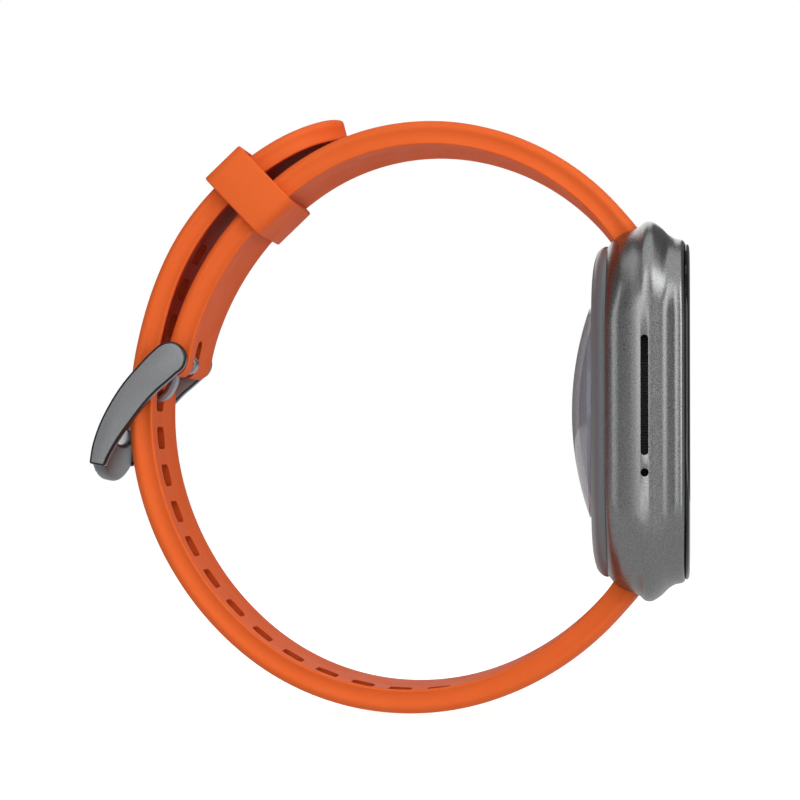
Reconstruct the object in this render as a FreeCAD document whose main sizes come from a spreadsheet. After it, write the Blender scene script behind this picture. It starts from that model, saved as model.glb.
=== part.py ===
import FreeCAD, Part

import math
import os
import Sketcher

# A running watch with its strap buckled.
# Frame: the origin is the middle of the wrist opening. +X points out of the crown side of the case,
# -Y out of the display and +Z to twelve o'clock. All sizes are in millimetres.

Vector = FreeCAD.Vector
doc = FreeCAD.newDocument("RunningWatch")

# ---------------------------------------------------------------------------------- driving sizes
sheet = doc.addObject("Spreadsheet::Sheet", "Sizes")
SIZES = [
    # case
    ("case_width", 40.0),
    ("case_length", 47.3),
    ("case_depth", 9.8),
    ("case_corner", 10.5),
    ("wrist_to_case", 29.2),
    ("side_rounding_back", 2.2),
    ("side_rounding_front", 1.0),
    ("side_wall", 3.2),
    ("end_wall", 6.45),
    ("cavity_corner", 7.0),
    ("front_wall", 0.95),
    # hood over the strap slot, and the shoulders beside the slot
    ("lip_inset", 2.25),
    ("hood_from_front", 4.3),
    ("hood_tip", 1.1),
    ("hood_underside", 0.55),
    ("shoulder_inset", 0.95),
    ("shoulder_back_inset", 3.25),
    ("slot_depth", 5.05),
    ("slot_gap", 0.3),
    # glass and display
    ("glass_border_side", 2.2),
    ("glass_border_end", 2.85),
    ("glass_corner", 8.6),
    ("glass_thick", 1.0),
    ("glass_proud", 0.6),
    ("glass_edge", 0.45),
    ("glass_gap", 0.1),
    ("gasket_thick", 0.15),
    ("gasket_width", 1.6),
    ("display_border_side", 2.6),
    ("display_border_end", 4.1),
    ("display_corner", 7.0),
    ("display_thick", 0.9),
    ("display_gap", 0.25),
    # rear cover and sensor window
    ("cover_inset_side", 2.6),
    ("cover_inset_end", 2.45),
    ("cover_corner", 8.0),
    ("cover_thick", 1.8),
    ("cover_rounding", 1.3),
    ("rear_gasket_width", 0.7),
    ("rear_gasket_thick", 0.4),
    ("rear_gasket_offset", 0.3),
    ("window_radius", 13.35),
    ("window_rise", 2.8),
    ("window_curve", 39.9),
    ("window_wall", 0.9),
    ("window_flange", 1.05),
    ("window_gap", 0.05),
    ("baffle_radius", 9.6),
    ("baffle_thick", 1.5),
    ("sensor_board_radius", 11.0),
    ("sensor_board_thick", 0.8),
    ("led_side", 1.8),
    ("led_thick", 0.6),
    ("led_circle", 2.6),
    ("diode_side", 2.4),
    ("diode_circle", 6.6),
    ("contact_radius", 0.9),
    ("contact_spacing", 6.0),
    ("contact_from_window", 2.15),
    ("magnet_radius", 1.4),
    ("magnet_thick", 1.0),
    ("magnet_spacing", 12.6),
    # inside the case
    ("clearance", 0.2),
    ("frame_thick", 0.9),
    ("frame_rim", 2.6),
    ("bridge_width", 3.0),
    ("board_inset", 1.8),
    ("board_corner", 5.5),
    ("board_thick", 0.8),
    ("screw_across", 9.0),
    ("screw_inset", 0.8),
    ("screw_radius", 0.4),
    ("screw_head_radius", 0.7),
    ("screw_head_thick", 0.4),
    ("can_width", 13.0),
    ("can_length", 11.0),
    ("can_thick", 1.1),
    ("battery_width", 21.0),
    ("battery_inset_top", 5.2),
    ("battery_inset_bottom", 10.3),
    ("battery_thick", 3.0),
    ("motor_radius", 3.6),
    ("motor_thick", 2.6),
    ("antenna_width", 12.0),
    ("antenna_length", 3.2),
    ("antenna_thick", 1.8),
    ("flex_thick", 0.15),
    ("flex_width", 5.0),
    # speaker and microphone in the side wall
    ("side_part_from_back", 4.9),
    ("speaker_slot_length", 14.7),
    ("speaker_slot_width", 0.95),
    ("speaker_slot_height", 1.85),
    ("mic_hole_radius", 0.5),
    ("mic_height", -7.6),
    ("mesh_thick", 0.2),
    ("mesh_margin", 0.45),
    ("speaker_box_width", 3.4),
    ("speaker_box_thick", 2.6),
    ("mic_box_side", 2.6),
    ("mic_box_thick", 1.0),
    # crown
    ("crown_height", 9.5),
    ("crown_radius", 3.5),
    ("crown_thick", 2.5),
    ("crown_gap", 0.5),
    ("crown_travel", 0.4),
    ("crown_stem_radius", 0.9),
    ("crown_stem_spare", 1.1),
    ("crown_tube_wall", 0.55),
    ("crown_tube_spare", 1.1),
    ("running_gap", 0.05),
    ("seal_groove_depth", 0.36),
    ("seal_cord_radius", 0.2),
    ("seal_pitch", 1.2),
    ("clip_groove_depth", 0.3),
    ("clip_thick", 0.4),
    ("clip_radius", 1.4),
    ("plunger_radius", 0.6),
    ("plunger_length", 1.3),
    ("switch_side", 3.0),
    ("switch_thick", 2.0),
    # strap
    ("strap_thick", 3.0),
    ("strap_width_lug", 21.8),
    ("strap_width_buckle", 19.8),
    ("tail_narrowing", 0.8),
    ("bar_from_back", 3.1),
    ("bar_inset", 2.65),
    ("eye_wall", 0.85),
    ("upper_start", 57.5),
    ("upper_radius_1", 30.5),
    ("upper_turn_1", 47.0),
    ("upper_radius_2", 28.5),
    ("upper_turn_2", 45.0),
    ("upper_radius_3", 38.0),
    ("upper_turn_3", 44.0),
    ("lower_start", 55.9),
    ("lower_radius", 35.5),
    ("lower_turn", 34.5),
    ("tail_radius", 39.5),
    ("tail_past_keeper", 14.5),
    ("layer_gap", 1.3),
    ("hole_pitch", 5.0),
    ("holes_to_tail", 4),
    ("holes_to_case", 12),
    ("hole_length", 2.8),
    ("hole_width", 5.6),
    # strap bars
    ("bar_tube_radius", 0.85),
    ("bar_tube_wall", 0.3),
    ("bar_tube_inset", 0.6),
    ("bar_tip_radius", 0.4),
    ("bar_tip_reach", 0.75),
    ("bar_pin_inside", 6.0),
    ("bar_plug_length", 2.0),
    ("release_travel", 1.0),
    ("release_from_end", 3.4),
    ("release_lever_radius", 0.55),
    ("release_lever_length", 2.4),
    ("release_window_margin", 1.1),
    ("bar_spring_wire", 0.15),
    # buckle
    ("buckle_side_gap", 0.23),
    ("buckle_arm_width", 2.1),
    ("buckle_end_radius", 2.15),
    ("buckle_reach", 10.0),
    ("buckle_drop", 13.4),
    ("buckle_outer_bulge", 3.0),
    ("buckle_inner_bulge", 1.5),
    ("buckle_bar_thick", 1.9),
    ("buckle_bar_deep", 2.4),
    ("buckle_pin_radius", 0.7),
    ("buckle_pin_wall", 0.25),
    ("tang_width", 3.4),
    ("tang_thick", 1.2),
    ("tang_eye_wall", 0.75),
    ("tang_out", 4.55),
    ("tang_drop", 4.6),
    ("tang_heading", 171.15),
    ("tang_side_gap", 0.2),
    # keeper
    ("keeper_length", 6.0),
    ("keeper_wall", 0.85),
    ("keeper_side_gap", 0.2),
    ("keeper_gap", 0.3),
    ("keeper_turn", 9.3),
]
for row, (alias, default) in enumerate(SIZES, start=1):
    sheet.set(f"A{row}", str(default))
    sheet.setAlias(f"A{row}", alias)
doc.recompute()


def size(expression):
    """The number that an expression on the sheet gives, such as 'case_width / 2'."""
    result = sheet.evalExpression(expression)
    return float(getattr(result, "Value", result))


def named(expression):
    """An expression as another object has to write it: each alias with the sheet's name before it."""
    words = expression.replace("(", " ( ").replace(")", " ) ").split()
    known = {alias for alias, _ in SIZES}
    return " ".join(f"Sizes.{word}" if word in known else word for word in words)


# planes across the depth of the case and sizes that follow from others, as expressions on the sheet
BACK = "( - wrist_to_case )"
FRONT = "( - wrist_to_case - case_depth )"
HOOD_BACK = f"( {FRONT} + hood_from_front )"
GLASS_BACK = f"( {FRONT} - glass_proud + glass_thick )"
LEDGE = f"( {GLASS_BACK} + gasket_thick )"
CEILING = f"( {LEDGE} + front_wall )"
COVER_FACE = f"( {BACK} + cover_thick )"
FRAME_FRONT = f"( {CEILING} + clearance )"
FRAME_BACK = f"( {FRAME_FRONT} + frame_thick )"
BOARD_BACK = f"( {FRAME_BACK} + board_thick )"
CAVITY_WIDTH = "( case_width - 2 * side_wall )"
CAVITY_LENGTH = "( case_length - 2 * end_wall )"
GLASS_WIDTH = "( case_width - 2 * glass_border_side )"
GLASS_LENGTH = "( case_length - 2 * glass_border_end )"
DISPLAY_WIDTH = f"( {GLASS_WIDTH} - 2 * display_border_side )"
DISPLAY_LENGTH = f"( {GLASS_LENGTH} - 2 * display_border_end )"
COVER_WIDTH = "( case_width - 2 * cover_inset_side )"
COVER_LENGTH = "( case_length - 2 * cover_inset_end )"
BOARD_WIDTH = f"( {CAVITY_WIDTH} - 2 * board_inset )"
BOARD_LENGTH = f"( {CAVITY_LENGTH} - 2 * board_inset + 1.2 )"
SKIRT = "( window_radius - window_flange )"
SIDE_DEPTH = f"( {BACK} - side_part_from_back )"
BAR_DEPTH = f"( {BACK} - bar_from_back )"
BAR_HEIGHT = "( case_length / 2 - bar_inset )"
EYE_RADIUS = "( bar_tube_radius + running_gap + eye_wall )"
SLOT_WIDTH = "( strap_width_lug + 2 * slot_gap )"
BAR_LENGTH = "( strap_width_lug - 2 * bar_tube_inset )"
BAR_BORE = "( bar_tube_radius - bar_tube_wall )"
TAIL_WIDTH = "( strap_width_buckle - tail_narrowing )"


def bind(thing, **links):
    """Binds properties of an object to expressions on the sheet."""
    for name, expression in links.items():
        thing.setExpression(name, named(expression))
        setattr(thing, name, size(expression))
    return thing


def place(thing, x="0", y="0", z="0"):
    """Puts an object's origin at x, y, z, each an expression."""
    for axis, expression in (("x", x), ("y", y), ("z", z)):
        thing.setExpression(f"Placement.Base.{axis}", named(expression))
    thing.Placement.Base = Vector(size(x), size(y), size(z))
    return thing


# ------------------------------------------------------------------------ bodies made from sketches
def body_called(label):
    """A new body with one label."""
    body = doc.addObject("PartDesign::Body", label)
    body.Label = label
    return body


def sketch_on(body, role, name, depth="0", x="0", y="0"):
    """A sketch on one of the body's own planes, shifted along its normal and across it."""
    sketch = body.newObject("Sketcher::SketchObject", name)
    plane = next(f for f in body.Origin.OriginFeatures if f.Role == role)
    sketch.AttachmentSupport = [(plane, "")]
    sketch.MapMode = "FlatFace"
    for axis, expression in (("x", x), ("y", y), ("z", depth)):
        sketch.setExpression(f"AttachmentOffset.Base.{axis}", named(expression))
    sketch.AttachmentOffset.Base = Vector(size(x), size(y), size(depth))
    return sketch


def hold(sketch, name, expression, *constraint):
    """Adds one driving dimension to a sketch and binds it to the sheet."""
    index = sketch.addConstraint(Sketcher.Constraint(*constraint, size(expression)))
    sketch.renameConstraint(index, name)
    sketch.setExpression(f"Constraints.{name}", named(expression))


def rounded_rectangle(sketch, width, length, corner):
    """A rectangle with round corners, centred on the sketch's origin."""
    wide, high, radius = size(width) / 2, size(length) / 2, size(corner)
    first = sketch.GeometryCount
    corners = ((1, 1, 0), (-1, 1, 90), (-1, -1, 180), (1, -1, 270))
    for sx, sy, start in corners:
        centre = Vector(sx * (wide - radius), sy * (high - radius), 0)
        circle = Part.Circle(centre, Vector(0, 0, 1), radius)
        sketch.addGeometry(Part.ArcOfCircle(circle, math.radians(start), math.radians(start + 90)))
    for index in range(4):
        begin = sketch.getPoint(first + index, 2)
        end = sketch.getPoint(first + (index + 1) % 4, 1)
        sketch.addGeometry(Part.LineSegment(begin, end))
    for index in range(4):
        line = first + 4 + index
        sketch.addConstraint(Sketcher.Constraint("Tangent", first + index, 2, line, 1))
        sketch.addConstraint(Sketcher.Constraint("Tangent", line, 2, first + (index + 1) % 4, 1))
        sketch.addConstraint(Sketcher.Constraint("Vertical" if index % 2 else "Horizontal", line))
    for index in range(1, 4):
        sketch.addConstraint(Sketcher.Constraint("Equal", first, first + index))
    sketch.addConstraint(Sketcher.Constraint("Symmetric", first, 3, first + 2, 3, -1, 1))
    tag = f"r{first}"
    hold(sketch, f"{tag}_corner", corner, "Radius", first)
    hold(sketch, f"{tag}_half_width", f"( {width} ) / 2", "DistanceX", -1, 1, first + 7, 1)
    hold(sketch, f"{tag}_half_length", f"( {length} ) / 2", "DistanceY", -1, 1, first + 4, 1)


def circle_in(sketch, radius, x="0", y="0"):
    """A circle with its centre at x, y."""
    first = sketch.addGeometry(Part.Circle(Vector(size(x), size(y), 0), Vector(0, 0, 1), size(radius)))
    hold(sketch, f"c{first}_radius", radius, "Radius", first)
    hold(sketch, f"c{first}_x", x, "DistanceX", -1, 1, first, 3)
    hold(sketch, f"c{first}_y", y, "DistanceY", -1, 1, first, 3)


def outline(sketch, corners):
    """A closed outline. Each corner is (x, y) or (x, y, bulge): an edge that leaves a corner with a
    bulge is an arc whose middle stands that far to the right of the straight line."""
    first = sketch.GeometryCount
    points = [Vector(size(corner[0]), size(corner[1]), 0) for corner in corners]
    for index, corner in enumerate(corners):
        begin, end = points[index], points[(index + 1) % len(points)]
        if len(corner) == 3:
            along = end - begin
            right = Vector(along.y, -along.x, 0).normalize()
            middle = (begin + end) * 0.5 + right * size(corner[2])
            sketch.addGeometry(Part.Arc(begin, middle, end))
        else:
            sketch.addGeometry(Part.LineSegment(begin, end))
    for index, corner in enumerate(corners):
        line = first + index
        following = first + (index + 1) % len(corners)
        start, end = ends_of(sketch, line, points[index])
        start_of_next = ends_of(sketch, following, points[(index + 1) % len(points)])[0]
        sketch.addConstraint(Sketcher.Constraint("Coincident", line, end, following, start_of_next))
        hold(sketch, f"p{line}_x", corner[0], "DistanceX", -1, 1, line, start)
        hold(sketch, f"p{line}_y", corner[1], "DistanceY", -1, 1, line, start)


def ends_of(sketch, line, point):
    """Which end of an edge lies on a point, and the other one."""
    return (1, 2) if sketch.getPoint(line, 1).isEqual(point, 1e-6) else (2, 1)


def pad(body, sketch, length, midplane=False, backwards=False):
    """Pads a sketch."""
    feature = body.newObject("PartDesign::Pad", sketch.Name + "Pad")
    feature.Profile = sketch
    bind(feature, Length=length)
    feature.Midplane = midplane
    feature.Reversed = backwards
    doc.recompute()
    return feature


def pocket(body, sketch, depth, midplane=False, backwards=False):
    """Pockets a sketch, and makes sure that it took material away."""
    before = body.Shape.Volume
    feature = body.newObject("PartDesign::Pocket", sketch.Name + "Pocket")
    feature.Profile = sketch
    bind(feature, Length=depth)
    feature.Midplane = midplane
    feature.Reversed = backwards
    doc.recompute()
    if not body.Shape.Volume < before:
        raise RuntimeError(f"{feature.Label} in {body.Label} cuts nothing")
    return feature


def round_edges(body, radius, wanted):
    """Rounds the edges of a body that a test picks, in the body's own frame."""
    base = body.Tip
    names = [f"Edge{i}" for i, edge in enumerate(base.Shape.Edges, start=1) if wanted(edge)]
    feature = body.newObject("PartDesign::Fillet", body.Label + "Rounded")
    feature.Base = (base, names)
    bind(feature, Radius=radius)
    doc.recompute()
    return feature


def edges_at(axis, value):
    """A test for edges that lie in a plane across one axis of the body."""
    low, high = f"{axis}Min", f"{axis}Max"

    def wanted(edge):
        box = edge.BoundBox
        return abs(getattr(box, low) - value) < 1e-4 and abs(getattr(box, high) - value) < 1e-4
    return wanted


def slab(label, width, length, corner, thick, front, x="0", z="0"):
    """A flat piece with round corners, parallel to the display. front is the plane it starts at."""
    body = body_called(label)
    sketch = sketch_on(body, "XZ_Plane", label + "Outline")
    rounded_rectangle(sketch, width, length, corner)
    pad(body, sketch, thick, backwards=True)
    return place(body, x, front, z)


def ring_slab(label, width, length, corner, rim, thick, front):
    """A flat frame, parallel to the display."""
    body = slab(label, width, length, corner, thick, front)
    hole = sketch_on(body, "XZ_Plane", label + "Hole")
    rounded_rectangle(hole, f"( {width} ) - 2 * ( {rim} )", f"( {length} ) - 2 * ( {rim} )",
                      f"( {corner} ) - ( {rim} )")
    pocket(body, hole, thick)
    return body


def turned_along_y(label, radius, length, front, x="0", z="0"):
    """A cylinder that stands on the plane front and points to the wrist."""
    part = doc.addObject("Part::Cylinder", label)
    part.Label = label
    bind(part, Radius=radius, Height=length)
    part.Placement.Rotation = FreeCAD.Rotation(Vector(1, 0, 0), -90)
    return place(part, x, front, z)


def rod_along_x(label, radius, length, x, y, z):
    """A cylinder along X that starts at x."""
    part = doc.addObject("Part::Cylinder", label)
    part.Label = label
    bind(part, Radius=radius, Height=length)
    part.Placement.Rotation = FreeCAD.Rotation(Vector(0, 1, 0), 90)
    return place(part, x, y, z)


def block(label, width, depth, height, x, y, z):
    """A box whose middle is at x, y, z."""
    part = doc.addObject("Part::Box", label)
    part.Label = label
    bind(part, Length=width, Width=depth, Height=height)
    return place(part, f"( {x} ) - ( {width} ) / 2", f"( {y} ) - ( {depth} ) / 2",
                 f"( {z} ) - ( {height} ) / 2")


def cut(label, base, *tools):
    """The base with every tool taken away."""
    tool = tools[0]
    if len(tools) > 1:
        tool = doc.addObject("Part::MultiFuse", label + "Tools")
        tool.Shapes = list(tools)
    part = doc.addObject("Part::Cut", label)
    part.Label = label
    part.Base = base
    part.Tool = tool
    doc.recompute()
    return part


def ball(label, radius, y):
    """A ball with its centre at y on the case's middle axis."""
    part = doc.addObject("Part::Sphere", label)
    bind(part, Radius=radius)
    return place(part, y=y)


def shared(label, *pieces):
    """What pieces have in common."""
    part = doc.addObject("Part::MultiCommon", label)
    part.Shapes = list(pieces)
    doc.recompute()
    return part


def joined(label, *pieces):
    """Touching pieces made one."""
    part = doc.addObject("Part::MultiFuse", label)
    part.Label = label
    part.Shapes = list(pieces)
    doc.recompute()
    return part


def group(label, pieces):
    """Several separate solids kept in one sub-part."""
    part = doc.addObject("Part::Compound", label)
    part.Label = label
    part.Links = list(pieces)
    doc.recompute()
    return part


# ------------------------------------------------------------------------------------ case and glass
def both_ends(sketch, corners):
    """Draws one outline at the twelve o'clock end and its mirror image at the six o'clock end."""
    for sign in ("1", "- 1"):
        outline(sketch, [(c[0], f"{sign} * ( {c[1]} )") + tuple(f"{sign} * ( {b} )" for b in c[2:])
                         for c in corners])


def make_mid_case():
    body = body_called("mid_case")
    face = sketch_on(body, "XZ_Plane", "CaseOutline", depth="wrist_to_case")
    rounded_rectangle(face, "case_width", "case_length", "case_corner")
    pad(body, face, "case_depth")
    round_edges(body, "side_rounding_back", edges_at("Y", size(BACK)))
    round_edges(body, "side_rounding_front", edges_at("Y", size(FRONT)))
    half, beyond = "case_length / 2", "case_length / 2 + 2"
    tip = f"{HOOD_BACK} + hood_tip"

    # the hollow between the front edge and the crest of each hood
    hollows = sketch_on(body, "YZ_Plane", "LipHollows")
    both_ends(hollows, [
        (f"{FRONT} - 1", f"{half} - lip_inset"),
        (f"{FRONT} + 0.9", f"{half} - lip_inset", "0.35"),
        (HOOD_BACK, half),
        (HOOD_BACK, beyond),
        (f"{FRONT} - 1", beyond),
    ])
    pocket(body, hollows, "case_width + 2", midplane=True)

    # behind the hood the case ends in round shoulders
    shoulders = sketch_on(body, "YZ_Plane", "Shoulders")
    both_ends(shoulders, [
        (tip, f"{half} - shoulder_inset", "0.75"),
        (BACK, f"{half} - shoulder_back_inset"),
        (f"{BACK} + 1", f"{half} - shoulder_back_inset"),
        (f"{BACK} + 1", beyond),
        (tip, beyond),
    ])
    pocket(body, shoulders, "case_width + 2", midplane=True)

    # the slot that each strap end sits in, under the hood
    slots = sketch_on(body, "YZ_Plane", "StrapSlots")
    under, floor = f"{HOOD_BACK} - hood_underside", f"{half} - slot_depth"
    both_ends(slots, [
        (under, floor),
        (f"{BACK} + 1", floor),
        (f"{BACK} + 1", beyond),
        (tip, beyond),
        (tip, f"{half} - hood_underside"),
        (under, f"{BAR_HEIGHT} + {EYE_RADIUS}"),
    ])
    pocket(body, slots, SLOT_WIDTH, midplane=True)

    seats = sketch_on(body, "YZ_Plane", "BarSeats")
    for sign in ("1", "- 1"):
        circle_in(seats, "bar_tip_radius + running_gap", BAR_DEPTH, f"{sign} * {BAR_HEIGHT}")
    pocket(body, seats, f"{SLOT_WIDTH} + 2 * bar_tip_reach + 0.6", midplane=True)

    cavity = sketch_on(body, "XZ_Plane", "Cavity", depth="wrist_to_case")
    rounded_rectangle(cavity, CAVITY_WIDTH, CAVITY_LENGTH, "cavity_corner")
    pocket(body, cavity, f"{BACK} - {CEILING}", backwards=True)

    recess = sketch_on(body, "XZ_Plane", "GlassRecess", depth=f"- {LEDGE}")
    rounded_rectangle(recess, f"{GLASS_WIDTH} + 2 * glass_gap", f"{GLASS_LENGTH} + 2 * glass_gap",
                      "glass_corner + glass_gap")
    pocket(body, recess, "glass_thick + 1", backwards=True)

    window = sketch_on(body, "XZ_Plane", "DisplayOpening", depth=f"- {CEILING} - 1")
    rounded_rectangle(window, f"{DISPLAY_WIDTH} + 2 * display_gap", f"{DISPLAY_LENGTH} + 2 * display_gap",
                      "display_corner + display_gap")
    pocket(body, window, "front_wall + 2", backwards=True)

    outside = "- case_width / 2 - 1"
    side = sketch_on(body, "YZ_Plane", "SpeakerSlot", depth=outside, x=SIDE_DEPTH, y="speaker_slot_height")
    rounded_rectangle(side, "speaker_slot_width", "speaker_slot_length", "speaker_slot_width / 2 - 0.01")
    pocket(body, side, "side_wall + 2", backwards=True)

    mic = sketch_on(body, "YZ_Plane", "MicrophoneHole", depth=outside)
    circle_in(mic, "mic_hole_radius", SIDE_DEPTH, "mic_height")
    pocket(body, mic, "side_wall + 2", backwards=True)

    crown = sketch_on(body, "YZ_Plane", "CrownBore", depth="case_width / 2 + 1")
    circle_in(crown, "crown_stem_radius + running_gap + crown_tube_wall", SIDE_DEPTH, "crown_height")
    pocket(body, crown, "side_wall + 2")


def make_glass_stack():
    glass = slab("cover_glass", GLASS_WIDTH, GLASS_LENGTH, "glass_corner", "glass_thick",
                 f"{GLASS_BACK} - glass_thick")
    round_edges(glass, "glass_edge", edges_at("Y", 0.0))
    ring_slab("display_gasket", GLASS_WIDTH, GLASS_LENGTH, "glass_corner", "gasket_width",
              "gasket_thick", GLASS_BACK)
    slab("display_panel", DISPLAY_WIDTH, DISPLAY_LENGTH, "display_corner", "display_thick", GLASS_BACK)


def make_rear_cover():
    body = slab("rear_cover", COVER_WIDTH, COVER_LENGTH, "cover_corner", "cover_thick", BACK)
    round_edges(body, "cover_rounding", edges_at("Y", size("cover_thick")))
    opening = sketch_on(body, "XZ_Plane", "SensorOpening")
    circle_in(opening, f"{SKIRT} + window_gap")
    for sign in ("1", "- 1"):
        circle_in(opening, "contact_radius", f"{sign} * contact_spacing / 2",
                  "- window_radius - contact_from_window")
    pocket(body, opening, "cover_thick + 1")
    groove = sketch_on(body, "XZ_Plane", "GasketGroove")
    spread = "2 * ( rear_gasket_offset + rear_gasket_width )"
    rim_width, rim_length = f"( {CAVITY_WIDTH} + {spread} )", f"( {CAVITY_LENGTH} + {spread} )"
    corner = "( cavity_corner + rear_gasket_offset + rear_gasket_width )"
    rounded_rectangle(groove, rim_width, rim_length, corner)
    rounded_rectangle(groove, f"{rim_width} - 2 * rear_gasket_width", f"{rim_length} - 2 * rear_gasket_width",
                      f"{corner} - rear_gasket_width")
    pocket(body, groove, "rear_gasket_thick")
    ring_slab("rear_gasket", rim_width, rim_length, corner, "rear_gasket_width", "rear_gasket_thick", BACK)


def around(count, first, circle):
    """Places evenly spaced round a circle, each as two expressions."""
    angles = [math.radians(first + 360 * index / count) for index in range(count)]
    return [(f"{circle} * {math.cos(angle):.6f}", f"{circle} * {math.sin(angle):.6f}") for angle in angles]


def make_sensor():
    # the window is a shallow dome with a flange on the cover and a skirt down through it
    centre = f"{COVER_FACE} + window_rise - window_curve"
    flange = turned_along_y("WindowFlange", "window_radius", "window_rise", COVER_FACE)
    skirt = turned_along_y("WindowSkirt", SKIRT, "cover_thick", BACK)
    hollow = turned_along_y("WindowHollow", f"{SKIRT} - window_wall", "cover_thick + window_rise + 1",
                            f"{BACK} - 1")
    outside = shared("WindowOutside", ball("WindowBall", "window_curve", centre), flange)
    inside = shared("WindowInside", ball("InnerBall", "window_curve - window_wall", centre), hollow)
    cut("sensor_window", joined("WindowWhole", outside, skirt), inside)

    board = f"{BACK} - sensor_board_thick + clearance"
    turned_along_y("sensor_board", "sensor_board_radius", "sensor_board_thick", board)
    top = f"{BACK} + clearance"
    diode_places = around(4, 45, "diode_circle")
    leds = [block(f"Led{i}", "led_side", "led_thick", "led_side", x, f"{top} + led_thick / 2", z)
            for i, (x, z) in enumerate(around(3, 90, "led_circle"))]
    diodes = [block(f"Diode{i}", "diode_side", "led_thick", "diode_side", x, f"{top} + led_thick / 2", z)
              for i, (x, z) in enumerate(diode_places)]
    group("sensor_leds", leds)
    group("photodiodes", diodes)

    baffle = body_called("sensor_baffle")
    disc = sketch_on(baffle, "XZ_Plane", "BaffleDisc")
    circle_in(disc, "baffle_radius")
    pad(baffle, disc, "baffle_thick", backwards=True)
    wells = sketch_on(baffle, "XZ_Plane", "BaffleWells")
    circle_in(wells, "led_circle + 0.8 * led_side")
    for x, z in diode_places:
        circle_in(wells, "diode_side * 0.78", x, z)
    pocket(baffle, wells, "baffle_thick")
    place(baffle, y=top)

    contacts, magnets = [], []
    for sign, side in (("1", "Right"), ("- 1", "Left")):
        contacts.append(turned_along_y(f"Contact{side}", "contact_radius", "cover_thick", BACK,
                                       f"{sign} * contact_spacing / 2",
                                       "- window_radius - contact_from_window"))
        magnets.append(turned_along_y(f"Magnet{side}", "magnet_radius", "magnet_thick",
                                      f"{BACK} - magnet_thick - clearance", f"{sign} * magnet_spacing / 2",
                                      f"magnet_radius + clearance - {CAVITY_LENGTH} / 2"))
    group("charging_contacts", contacts)
    group("charging_magnets", magnets)


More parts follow.
